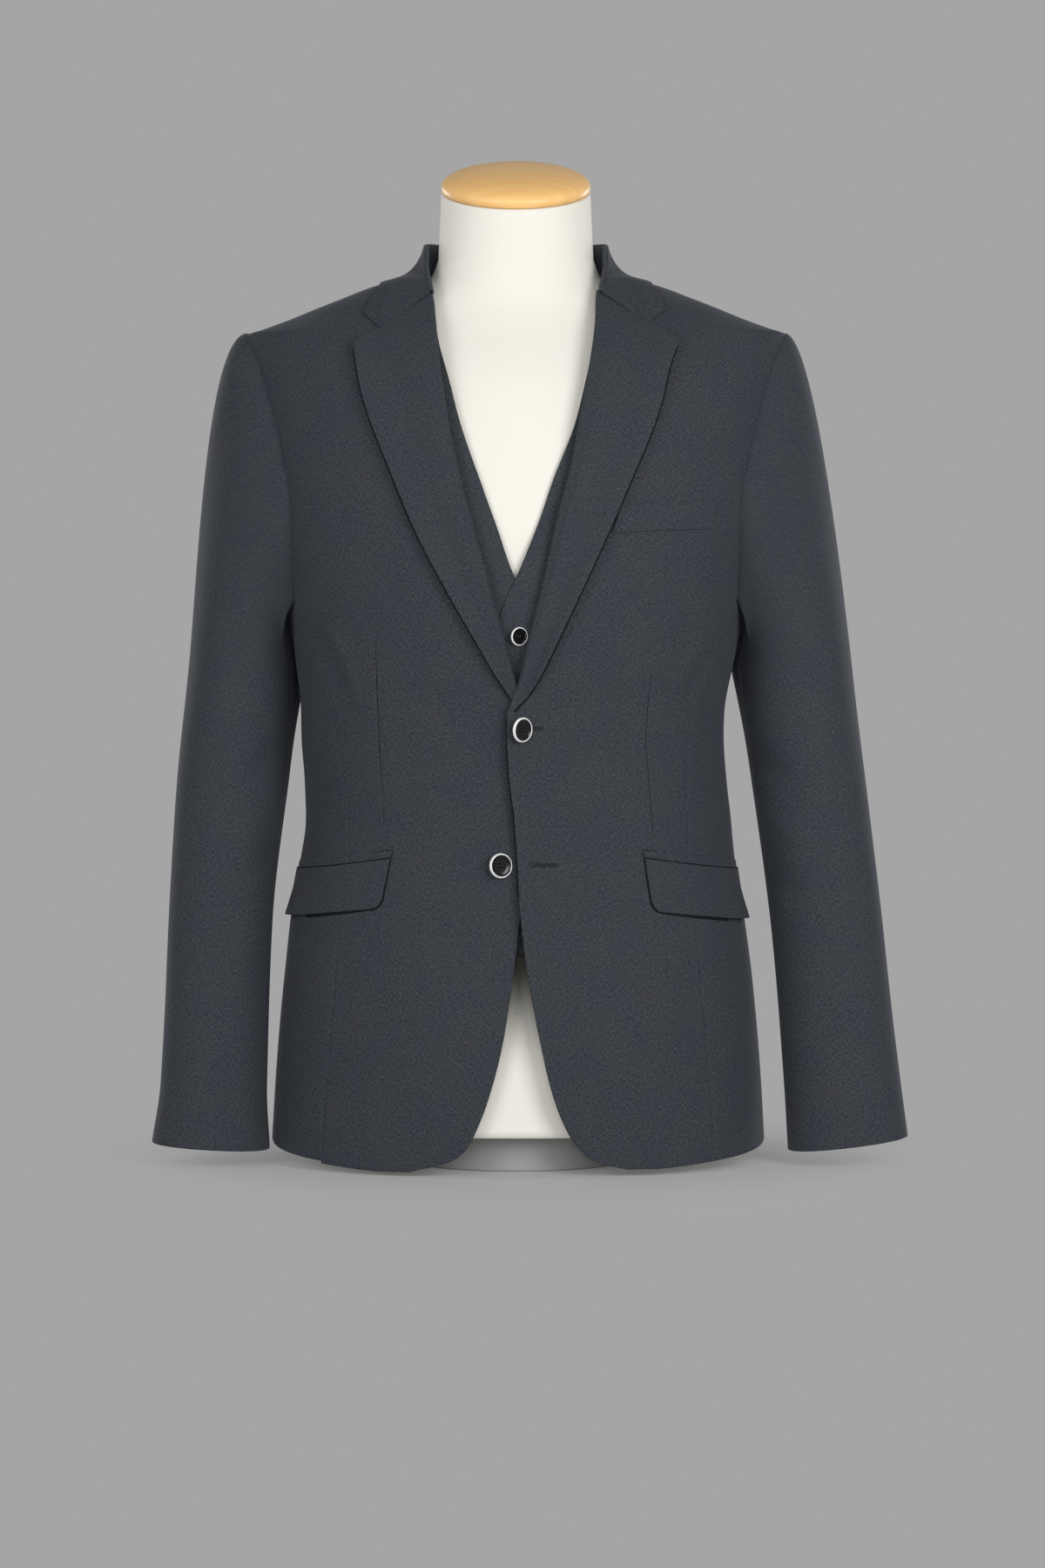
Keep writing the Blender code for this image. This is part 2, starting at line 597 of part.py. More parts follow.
def vest_rise(turn, height):
    line = glide(VEST_HEM, 1, np.degrees(np.abs(turn))) - VEST_HEM[0][1]
    return line * (1 - ease(0.17, 0.36, height))


def vest_levels():
    return np.array([
        0.177, 0.215, 0.260, 0.305, 0.350, 0.390, VEST_SIDE, 0.450, 0.474, 0.510, 0.560, 0.610, 0.650,
        0.678, 0.694, 0.7065, 0.716,
    ])


def vest_armhole(levels, behind):
    edge = turn_at(glide(VEST_ARMHOLE, 1, levels), levels, behind)
    return np.where((levels <= VEST_SIDE) | (levels >= VEST_ARMHOLE[-1][0]), np.pi / 2, edge)


def vest_sheet(name, turn, height, rise, colour):
    outer = on_body(turn, height, rise - VEST_DEPTH)
    inner = on_body(turn, height, rise - VEST_DEPTH - LINING)
    wall(name, outer, inner, colour)


def vest_front(name, side):
    levels = vest_levels()
    start = turn_at(glide(VEST_EDGE[side], 1, levels), levels)
    stop = vest_armhole(levels, False) - VEST_SEAM
    turn = start[:, None] + (stop - start)[:, None] * grid(0, 1, 8)
    height = levels[:, None] + vest_rise(turn, levels[:, None])
    x = body(turn, height)[..., 0]
    near = (1 - ease(0.020, 0.045, x)) * (1 - ease(0.478, 0.52, height))
    rise = VEST_LAP * near if side == LEFT else 0 * near
    vest_sheet(name, turn * side, height, rise, "waistcoat cloth")


def vest_back(name):
    levels = vest_levels()
    start = vest_armhole(levels, True) + VEST_SEAM
    turn = start[:, None] + (2 * np.pi - 2 * start)[:, None] * grid(0, 1, 15)
    from_back = np.abs(turn - np.pi)
    height = levels[:, None] + vest_rise(np.pi - from_back, levels[:, None])
    height = height - VEST_NAPE_DIP * ease(0.690, 0.716, levels[:, None]) * (1 - ease(0.3, 1.2, from_back))
    vest_sheet(name, turn, height, 0 * turn, "lining")


def form_torso(name):
    around = grid(0, 2 * np.pi, 33)[:-1]
    levels = [
        FORM_BASE, 0.09, 0.15, 0.21, 0.27, 0.33, 0.39, 0.45, 0.51, 0.56, 0.60, 0.63, 0.655, 0.670,
        0.685, 0.697, 0.708, 0.720, NECK_BASE,
    ]
    rings = [ring(FORM, around, level + 0 * around) for level in levels]
    top = neck_ring(around, 1.0, 0.0)
    for share in (0.33, 0.66, 1.0):
        rings.append(rings[len(levels) - 1] * (1 - share) + top * share)
    turned(name, rings, "form cloth")


def neck_ring(around, reach, out):
    # ring on the neck's tilted rim, or above it along the rim's own normal
    y, z = NECK_CENTRE
    back = np.array([0, np.cos(NECK_TILT), np.sin(NECK_TILT)])
    up = np.array([0, -np.sin(NECK_TILT), np.cos(NECK_TILT)])
    right = np.array([1.0, 0, 0])
    across = np.sin(around)[:, None] * right * NECK_HALF[0] - np.cos(around)[:, None] * back * NECK_HALF[1]
    return np.array([0, y, z]) + across * reach + up * out


def neck_cap(name):
    around = grid(0, 2 * np.pi, 33)[:-1]
    rings = [neck_ring(around, 1.0, LAY)]
    for lean in np.radians([0, 20, 40, 58, 74, 86]):
        out = CAP_BAND + (CAP_HEIGHT - CAP_BAND) * np.sin(lean)
        rings.append(neck_ring(around, np.cos(lean), out))
    turned(name, rings, "turned wood")


def form_foot(name):
    around = grid(0, 2 * np.pi, 33)[:-1]
    rings = []
    for reach, z in [(0.985, 0), (1.0, 0.0015), (1.0, FOOT_HEIGHT - 0.0015), (0.985, FOOT_HEIGHT)]:
        flat = np.stack([np.cos(around), np.sin(around), 0 * around], axis=-1) * FOOT_RADIUS * reach
        rings.append(flat + np.array([0, 0, z]))
    turned(name, rings, "foot paint")


def build():
    for thing in list(bpy.data.objects):
        bpy.data.objects.remove(thing, do_unlink=True)
    names = {LEFT: "left", RIGHT: "right"}
    for side, word in names.items():
        jacket_front("jacket_front_" + word, side)
        side_panel("jacket_side_" + word, side)
        jacket_back("jacket_back_" + word, side)
        lapel("lapel_" + word, side)
        sleeve_piece("top_sleeve_" + word, side, HINDARM_SEAM - 360, FOREARM_SEAM, 12)
        sleeve_piece("under_sleeve_" + word, side, FOREARM_SEAM, HINDARM_SEAM, 11)
        patch_on_front("hip_flap_" + word, side, FLAP, 8, 4, LAY_CURVED, LEAF, FLAP_KICK)
        patch_on_front("hip_jet_" + word, side, JET, 8, 2, LAY_CURVED, 0.0012, 0)
        vest_front("waistcoat_front_" + word, side)
    collar("collar")
    patch_on_front("breast_welt", LEFT, WELT, 6, 3, LAY_CURVED / 2, 0.0014, 0)
    button_on_body("jacket_button_upper", 0.0054, 0.3536, LAP + LAY, JACKET_BUTTON)
    button_on_body("jacket_button_lower", -0.0118, 0.2471, LAY, JACKET_BUTTON)
    vest_back("waistcoat_back")
    for i in range(VEST_BUTTON_COUNT):
        height = VEST_BUTTON_TOP - i * VEST_BUTTON_STEP
        lift = VEST_LAP - VEST_DEPTH + VEST_BUTTON_LIFT
        button_on_body("waistcoat_button_" + str(i + 1), 0.0022, height, lift, VEST_BUTTON)
    form_torso("form_torso")
    neck_cap("neck_cap")
    form_foot("form_foot")


build()
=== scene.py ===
import bpy
import numpy as np
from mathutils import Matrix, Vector


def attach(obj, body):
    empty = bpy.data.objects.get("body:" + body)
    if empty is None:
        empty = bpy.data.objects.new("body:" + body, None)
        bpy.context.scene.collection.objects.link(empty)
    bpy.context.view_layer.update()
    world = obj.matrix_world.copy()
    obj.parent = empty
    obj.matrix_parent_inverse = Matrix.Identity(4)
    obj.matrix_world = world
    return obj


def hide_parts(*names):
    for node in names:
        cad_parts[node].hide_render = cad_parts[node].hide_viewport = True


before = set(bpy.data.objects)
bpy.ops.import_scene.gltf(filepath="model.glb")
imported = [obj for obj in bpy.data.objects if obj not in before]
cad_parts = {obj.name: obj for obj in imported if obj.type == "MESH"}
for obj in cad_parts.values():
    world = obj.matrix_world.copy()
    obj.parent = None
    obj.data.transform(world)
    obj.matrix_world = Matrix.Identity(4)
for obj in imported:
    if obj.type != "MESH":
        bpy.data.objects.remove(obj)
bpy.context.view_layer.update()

scene = bpy.context.scene
left, right = 1, -1  # the wearer's sides: left is +X
sideWord = {left: "Left", right: "Right"}
nodeWord = {left: "_left", right: "_right"}

# The suit's body surface, read as (turn, height): turn 0 is the centre front, pi the centre back.
bodyCut = {
    # height, half width, front depth, back depth, squareness
    "rows": [
        (0.000, 0.2035, 0.141, 0.128, 2.30),
        (0.107, 0.1960, 0.136, 0.119, 2.30),
        (0.193, 0.1870, 0.129, 0.103, 2.30),
        (0.278, 0.1745, 0.124, 0.088, 2.30),
        (0.321, 0.1730, 0.124, 0.086, 2.30),
        (0.364, 0.1735, 0.127, 0.090, 2.30),
        (0.407, 0.1795, 0.131, 0.098, 2.30),
        (0.455, 0.1875, 0.134, 0.107, 2.30),
        (0.500, 0.1960, 0.133, 0.113, 2.30),
        (0.550, 0.2035, 0.127, 0.116, 2.25),
        (0.600, 0.2100, 0.117, 0.114, 2.20),
        (0.630, 0.2145, 0.108, 0.110, 2.15),
        (0.655, 0.2190, 0.097, 0.104, 2.10),
        (0.668, 0.2215, 0.089, 0.099, 2.05),
        (0.676, 0.2210, 0.084, 0.096, 2.00),
        (0.680, 0.2095, 0.081, 0.094, 2.00),
        (0.689, 0.1850, 0.073, 0.089, 2.00),
        (0.698, 0.1630, 0.066, 0.085, 2.00),
        (0.706, 0.1420, 0.060, 0.081, 2.00),
        (0.714, 0.1190, 0.056, 0.078, 2.00),
        (0.719, 0.0980, 0.053, 0.0765, 2.00),
        (0.7225, 0.0850, 0.052, 0.0755, 2.00),
        (0.730, 0.0660, 0.050, 0.0720, 2.00),
        (0.750, 0.0600, 0.048, 0.0680, 2.00),
    ],
    # upper end of each band of cloth rows, and its number of rows
    "bands": [(0.06, 14), (0.45, 62), (0.64, 40), (0.68, 22), (0.7225, 26)],
    "armpit": 0.455,
    "shoulder": 0.676,
    "neckline": 0.7225,
    "hem": 0.006,
    "hemFade": 0.12,
    # turn in degrees, height of the hem
    "hemLine": [
        (0, 0.006), (38, 0.006), (60, 0.010), (78, 0.015), (90, 0.0195), (125, 0.018),
        (180, 0.014),
    ],
    # height, half width at the armhole seam in front and behind
    "armhole": [
        (0.455, 0.1785, 0.1770), (0.486, 0.1800, 0.1815), (0.536, 0.1815, 0.1850), (0.563, 0.1860, 0.1890),
        (0.591, 0.1920, 0.1945), (0.622, 0.2000, 0.2020), (0.643, 0.2065, 0.2080), (0.660, 0.2130, 0.2145),
        (0.676, 0.2210, 0.2210),
    ],
    # height, turn in degrees of the side panel's front and back seam
    "sideSeams": [(0.000, 58, 122), (0.250, 57, 124), (0.350, 60, 123), (0.420, 66, 114)],
    # height, sideways lean of the hanging jacket
    "sway": [
        (0.000, 0.0018), (0.150, 0.0018), (0.225, 0.0010), (0.271, 0.0022), (0.307, 0.0), (0.350, -0.0028),
        (0.430, 0.0),
    ],
    "swayReach": (0.03, 0.12),
    "sink": {left: 0.0013, right: 0.0024},
    "sinkReach": (0.075, 0.16),
    "sinkHeight": (0.62, 0.68),
    "seat": 0.0001,  # how far the cloth's face lies inside the body's surface
    "underArm": 0.0004,
    "columns": {"side": 40, "back": 64},
}
cloth = {
    "thick": 0.0017, "leaf": 0.0015, "lining": 0.0013, "lay": 0.0005,
    "seamGap": 0.00005, "seamRound": 0.00035, "edgeSteps": 3, "cornerPull": 0.7,
}
frontLap = {"rise": 0.0024, "fadeOut": (0.026, 0.060), "fadeUp": (0.40, 0.47)}
foldEnds = {"start": (-0.12, 0.30), "stop": (0.65, 1.12)}


def curved(t, start, stop, leave, arrive):
    # cubic from start to stop, with its slopes at both ends
    low = (2 * t**3 - 3 * t**2 + 1) * start + (t**3 - 2 * t**2 + t) * leave
    return low + (3 * t**2 - 2 * t**3) * stop + (t**3 - t**2) * arrive


def glide(rows, column, at):
    # smooth curve through a table's rows, without overshoot
    rows = np.array(rows, float)
    xs, ys = rows[:, 0], rows[:, column]
    step = np.diff(xs)
    slope = np.diff(ys) / step
    bend = np.zeros(len(xs))
    bend[0], bend[-1] = slope[0], slope[-1]
    for i in range(1, len(xs) - 1):
        if slope[i - 1] * slope[i] > 0:
            w1 = 2 * step[i] + step[i - 1]
            w2 = step[i] + 2 * step[i - 1]
            bend[i] = (w1 + w2) / (w1 / slope[i - 1] + w2 / slope[i])
    at = np.clip(at, xs[0], xs[-1])
    i = np.clip(np.searchsorted(xs, at, side="right") - 1, 0, len(xs) - 2)
    t = (at - xs[i]) / step[i]
    return curved(t, ys[i], ys[i + 1], bend[i] * step[i], bend[i + 1] * step[i])


def ease(low, high, at):
    t = np.clip((at - low) / (high - low), 0, 1)
    return t * t * (3 - 2 * t)


def unit(vectors):
    return vectors / np.maximum(np.linalg.norm(vectors, axis=-1, keepdims=True), 1e-12)


def stepped(start, bands):
    # values from start to the end of each band, with a count for each band
    values = []
    for stop, count in bands[:-1]:
        values.append(np.linspace(start, stop, count, endpoint=False))
        start = stop
    return np.concatenate([*values, np.linspace(start, *bands[-1])])


def fullTurn(count):
    return np.linspace(0, 2 * np.pi, count, endpoint=False)


def sided(points, side):
    # cut for the left side, and mirrored for the right one
    return points * np.array([side, 1, 1])


def ring(rows, turn, height):
    half = glide(rows, 1, height)
    depth = np.where(np.cos(turn) > 0, glide(rows, 2, height), glide(rows, 3, height))
    power = glide(rows, 4, height)
    reach = (np.abs(np.sin(turn) / half) ** power + np.abs(np.cos(turn) / depth) ** power) ** (-1 / power)
    return np.stack([reach * np.sin(turn), -reach * np.cos(turn), height + 0 * turn], axis=-1)


def outward(patch, u, v, nudge=1e-3):
    along = patch(u + nudge, v) - patch(u - nudge, v)
    up = patch(u, v + nudge) - patch(u, v - nudge)
    return unit(np.cross(along, up))


def body(turn, height):
    return ring(bodyCut["rows"], turn, height)


def onBody(turn, height, lift):
    lift = np.asarray(lift) + 0 * turn
    return body(turn, height) + outward(body, turn, height) * lift[..., None]


def turnAt(x, height, behind=False):
    half = glide(bodyCut["rows"], 1, height)
    depth = glide(bodyCut["rows"], 3 if behind else 2, height)
    power = glide(bodyCut["rows"], 4, height)
    y = depth * (1 - np.clip(np.abs(x) / half, 0, 1) ** power) ** (1 / power)
    turn = np.arctan2(np.abs(x), y)
    turn = np.where(behind, np.pi - turn, turn)
    return turn * np.sign(x)


def lapRise(side, x, height):
    # the wearer's left front lies over the right one near the centre
    if side == right:
        return 0 * x
    return frontLap["rise"] * (1 - ease(*frontLap["fadeOut"], x)) * (1 - ease(*frontLap["fadeUp"], height))


def above(points, lift):
    for _ in range(4):
        turn = np.arctan2(points[..., 0], -points[..., 1])
        height = points[..., 2]
        normal = outward(body, turn, height)
        short = lift - np.sum((points - body(turn, height)) * normal, axis=-1)
        points = points + normal * np.maximum(short, 0)[..., None]
    return points


def creased(folds, a, b):
    # height of soft ridges and troughs at (a, b): each fold is a line's two ends, its width, rise and bow
    rise = 0 * a
    for a0, b0, a1, b1, width, high, bow in folds:
        run = np.hypot(a1 - a0, b1 - b0)
        along = ((a - a0) * (a1 - a0) + (b - b0) * (b1 - b0)) / run**2
        bend = bow * np.sin(np.pi * np.clip(along, 0, 1))
        off = ((a - a0) * (b1 - b0) - (b - b0) * (a1 - a0)) / run - bend
        ends = ease(*foldEnds["start"], along) * (1 - ease(*foldEnds["stop"], along))
        rise = rise + high * np.exp(-((off / width) ** 2)) * ends
    return rise


# finishes
def nodeAdder(tree):
    def add(kind, links=None, **sets):
        node = tree.nodes.new(kind)
        for key, value in sets.items():
            setattr(node, key, value)
        for socket, value in (links or {}).items():
            target = node.inputs[socket]
            if isinstance(value, bpy.types.NodeSocket):
                tree.links.new(value, target)
            else:
                target.default_value = value
        return node

    return add


def newFinish(name, **sets):
    paint = bpy.data.materials.new(name)
    paint.use_nodes = True
    tree = paint.node_tree
    shader = tree.nodes["Principled BSDF"]
    for word, value in sets.items():
        shader.inputs[word].default_value = value
    return paint, tree, shader, nodeAdder(tree)


def blendColour(add, share, low, high):
    return add("ShaderNodeMix", {0: share, 6: low, 7: high}, data_type="RGBA").outputs[2]


def noiseNode(add, place, scale, detail):
    return add("ShaderNodeTexNoise", {"Vector": place, "Scale": scale, "Detail": detail}).outputs["Fac"]


def spread(add, value, ends):
    # stretches the part of value between both ends to 0..1
    return add("ShaderNodeMapRange", {"Value": value, "From Min": ends[0], "From Max": ends[1]}).outputs[0]


def crossedWaves(add, place, scales, operation):
    waves = [
        add("ShaderNodeTexWave", {"Vector": place, "Scale": scale}, bands_direction=axis).outputs["Fac"]
        for axis, scale in zip("XY", scales)
    ]
    return add("ShaderNodeMath", {0: waves[0], 1: waves[1]}, operation=operation).outputs[0]


def raised(tree, add, shader, height, strength, deep):
    bump = add("ShaderNodeBump", {"Height": height, "Strength": strength, "Distance": deep})
    tree.links.new(bump.outputs[0], shader.inputs["Normal"])


def woolFinish(name, look):
    # melange wool: blue and tan yarns in small cloudy patches, over a crossed weave of pale and dark threads
    paint, tree, shader, add = newFinish(name, **{
        "Roughness": look["roughness"], "Specular IOR Level": look["specular"], "Sheen Weight": look["sheen"],
        "Sheen Roughness": 0.4, "Sheen Tint": (0.8, 0.86, 1.0, 1),
    })
    place = add("ShaderNodeTexCoord").outputs
    patches, flecks = [
        spread(add, noiseNode(add, place["Object"], look[word + "Scale"], 4.0), look[word + "Range"])
        for word in ("patch", "fleck")
    ]
    base = blendColour(add, patches, look["blue"], look["tan"])
    base = blendColour(add, flecks, base, look["grey"])
    threads = []
    across, along = look["thread"]
    for stretch in ((across, along, 1), (along, across, 1)):
        mapping = add("ShaderNodeMapping", {"Vector": place["UV"], "Scale": stretch})
        threads.append(noiseNode(add, mapping.outputs[0], 1.0, 2.0))
    both = add("ShaderNodeMath", {0: threads[0], 1: threads[1]}, operation="ADD").outputs[0]
    streak = blendColour(add, spread(add, both, look["threadRange"]), look["dark"], look["light"])
    tree.links.new(blendColour(add, look["threadShare"], base, streak), shader.inputs["Base Color"])
    weave = crossedWaves(add, place["UV"], (look["weaveScale"],) * 2, "MULTIPLY")
    fuzz = add("ShaderNodeMath", {0: weave, 1: both}, operation="ADD").outputs[0]
    raised(tree, add, shader, fuzz, look["bump"], 0.0003)
    return paint


woolLook = {
    "patchScale": 30.0, "patchRange": (0.40, 0.66), "fleckScale": 110.0, "fleckRange": (0.42, 0.72),
    "thread": (1500.0, 420.0), "threadRange": (0.83, 1.19), "weaveScale": 420.0, "bump": 0.4,
    "blue": (0.0270, 0.0355, 0.0500, 1), "tan": (0.0410, 0.0395, 0.0405, 1),
    "grey": (0.0335, 0.0375, 0.0450, 1), "dark": (0.0100, 0.0130, 0.0190, 1),
    "light": (0.0670, 0.0750, 0.0860, 1), "threadShare": 0.64, "roughness": 0.80, "specular": 0.22,
    "sheen": 0.10,
}
# painted shade: a much darker copy of the jacket wool, for the cords laid where seams and raised edges are in
# shadow
paintedShadeLook = dict(
    woolLook, blue=(0.008, 0.009, 0.012, 1), tan=(0.010, 0.010, 0.011, 1), grey=(0.009, 0.010, 0.012, 1),
    dark=(0.005, 0.005, 0.006, 1), light=(0.014, 0.015, 0.017, 1), sheen=0.0, specular=0.1,
)
liningLook = dict(
    woolLook, blue=(0.012, 0.013, 0.016, 1), tan=(0.015, 0.015, 0.017, 1), grey=(0.014, 0.014, 0.016, 1),
    dark=(0.009, 0.009, 0.011, 1), light=(0.022, 0.023, 0.026, 1), threadShare=0.2, roughness=0.45,
    specular=0.4, sheen=0.0, bump=0.1,
)
vestLook = dict(
    woolLook, patchScale=36.0, blue=(0.0360, 0.0440, 0.0580, 1), tan=(0.0480, 0.0465, 0.0470, 1),
    grey=(0.0440, 0.0470, 0.0520, 1),
)
jacketWool = woolFinish("slateMelangeWool", woolLook)
vestWool = woolFinish("waistcoatMelangeWool", vestLook)
paintedShade = woolFinish("paintedShadeWool", paintedShadeLook)
liningSatin = woolFinish("darkLiningSatin", liningLook)


def formFinish(look):
    # stretched cotton jersey: fine ribs up and down, a little uneven
    paint, tree, shader, add = newFinish("creamJersey", **{
        "Roughness": 0.85, "Sheen Weight": 0.15, "Specular IOR Level": 0.25,
    })
    place = add("ShaderNodeTexCoord").outputs
    patch = noiseNode(add, place["Object"], look["patchScale"], 4.0)
    # the shade deep inside the jacket is painted on, in a band round the hips
    height = add("ShaderNodeSeparateXYZ", {"Vector": place["Object"]}).outputs["Z"]
    dims = []
    for word, low, high in (("dimFrom", 0.0, look["dim"]), ("dimTo", 1.0, 0.0)):
        start, stop = look[word]
        dims.append(add("ShaderNodeMapRange", {
            "Value": height, "From Min": start, "From Max": stop, "To Min": low, "To Max": high,
        }, interpolation_type="SMOOTHSTEP").outputs[0])
    dim = add("ShaderNodeMath", {0: dims[0], 1: dims[1]}, operation="MULTIPLY").outputs[0]
    clean = blendColour(add, patch, look["shade"], look["base"])
    tree.links.new(blendColour(add, dim, clean, look["deep"]), shader.inputs["Base Color"])
    knit = crossedWaves(add, place["UV"], (look["ribScale"], look["rowScale"]), "ADD")
    raised(tree, add, shader, knit, 0.15, 0.0003)
    return paint


creamJersey = formFinish({
    "patchScale": 9.0, "ribScale": 260.0, "rowScale": 190.0,
    "base": (0.880, 0.860, 0.790, 1), "shade": (0.835, 0.808, 0.725, 1),
    "deep": (0.040, 0.037, 0.030, 1), "dimFrom": (0.078, 0.170), "dimTo": (0.30, 0.42), "dim": 0.95,
})


def woodFinish(look):
    # turned pale wood: long grain with a few darker rings
    paint, tree, shader, add = newFinish("turnedPine", **{"Roughness": 0.42, "Coat Weight": 0.15})
    place = add("ShaderNodeTexCoord")
    mapping = add("ShaderNodeMapping", {"Vector": place.outputs["Object"], "Scale": look["stretch"]})
    grain = noiseNode(add, mapping.outputs[0], look["grain"], 6.0)
    rings = add("ShaderNodeTexWave", {
        "Vector": mapping.outputs[0], "Scale": look["rings"], "Distortion": 3.5,
    }, bands_direction="Y")
    tone = blendColour(add, grain, look["pale"], look["warm"])
    share = add("ShaderNodeMapRange", {"Value": rings.outputs["Fac"], "To Max": look["ringShare"]})
    tree.links.new(blendColour(add, share.outputs[0], tone, look["dark"]), shader.inputs["Base Color"])
    raised(tree, add, shader, grain, 0.12, 0.0004)
    return paint


turnedPine = woodFinish({
    "stretch": (1.0, 6.0, 6.0), "grain": 22.0, "rings": 5.0, "ringShare": 0.22,
    "pale": (0.98, 0.66, 0.27, 1), "warm": (1.0, 0.56, 0.19, 1), "dark": (0.92, 0.42, 0.13, 1),
})


def plainFinish(name, base, worn, scale, gloss, coat=0.0, specular=0.5):
    # hard finish with fine wear in its colour and gloss
    paint, tree, shader, add = newFinish(name, **{"Coat Weight": coat, "Specular IOR Level": specular})
    place = add("ShaderNodeTexCoord")
    wear = noiseNode(add, place.outputs["Object"], scale, 5.0)
    tree.links.new(blendColour(add, wear, (*base, 1), (*worn, 1)), shader.inputs["Base Color"])
    shine = add("ShaderNodeMapRange", {"Value": wear, "To Min": gloss[0], "To Max": gloss[1]})
    tree.links.new(shine.outputs[0], shader.inputs["Roughness"])
    return paint


blackHorn = plainFinish(
    "blackHorn", (0.004, 0.004, 0.005), (0.010, 0.010, 0.011), 300.0, (0.08, 0.20), coat=0.1, specular=0.3,
)
paleRim = plainFinish("polishedPaleRim", (0.86, 0.86, 0.85), (0.76, 0.76, 0.75), 500.0, (0.2, 0.4), coat=0.2)
sewingThread = plainFinish(
    "blackSewingThread", (0.006, 0.006, 0.008), (0.018, 0.019, 0.022), 900.0, (0.6, 0.8),
)
twist = plainFinish("greyButtonholeTwist", (0.016, 0.017, 0.020), (0.030, 0.031, 0.034), 900.0, (0.5, 0.7))
footPaint = plainFinish("mattGreyPaint", (0.36, 0.36, 0.36), (0.33, 0.33, 0.33), 60.0, (0.6, 0.75))
print("finishes ready")


# mesh makers
def newPiece(name, data):
    piece = bpy.data.objects.new(name, data)
    scene.collection.objects.link(piece)
    return piece


def makeMesh(name, points, quads, uvs, finishes, slots=None):
    mesh = bpy.data.meshes.new(name)
    mesh.vertices.add(len(points))
    mesh.vertices.foreach_set("co", np.ascontiguousarray(points, np.float32).ravel())
    mesh.loops.add(quads.size)
    mesh.loops.foreach_set("vertex_index", quads.ravel().astype(np.int32))
    mesh.polygons.add(len(quads))
    mesh.polygons.foreach_set("loop_start", np.arange(0, quads.size, 4, dtype=np.int32))
    mesh.polygons.foreach_set("use_smooth", np.ones(len(quads), bool))
    for finish in finishes:
        mesh.materials.append(finish)
    if slots is not None:
        mesh.polygons.foreach_set("material_index", slots.astype(np.int32))
    layer = mesh.uv_layers.new(name="clothMap")
    layer.data.foreach_set("uv", uvs[quads.ravel()].astype(np.float32).ravel())
    mesh.update(calc_edges=True)
    mesh.validate()
    return newPiece(name, mesh)


def gridNormal(sheet):
    across = np.gradient(sheet, axis=1)
    up = np.gradient(sheet, axis=0)
    return unit(np.cross(across, up))


def gridMap(sheet, start=None):
    # cloth coordinates in metres: along each row, and up the middle column
    rowStep = np.linalg.norm(np.diff(sheet, axis=1), axis=-1)
    u = np.concatenate([np.zeros((len(sheet), 1)), np.cumsum(rowStep, axis=1)], axis=1)
    u = u + (start[:, None] if start is not None else 0)
    middle = sheet[:, sheet.shape[1] // 2]
    v = np.concatenate([[0], np.cumsum(np.linalg.norm(np.diff(middle, axis=0), axis=1))])
    return np.stack([u, v[:, None] + 0 * u], axis=-1)


def gridQuads(spot):
    return np.stack([spot[:-1, :-1], spot[:-1, 1:], spot[1:, 1:], spot[1:, :-1]], axis=-1).reshape(-1, 4)


def edgeProfile(past, sewn, thick):
    # how far a ring past the border stands out and drops: half round when free, nearly square when sewn
    free, square = past * np.pi / 2 / cloth["edgeSteps"], np.minimum(past, 2) * np.pi / 4
    out = np.where(sewn, np.sin(square) * cloth["seamRound"], np.sin(free) * thick / 2)
    drop = np.where(sewn, (1 - np.cos(square)) * cloth["seamRound"], (1 - np.cos(free)) * thick / 2)
    return out, np.where(past == cloth["edgeSteps"], thick / 2, drop)


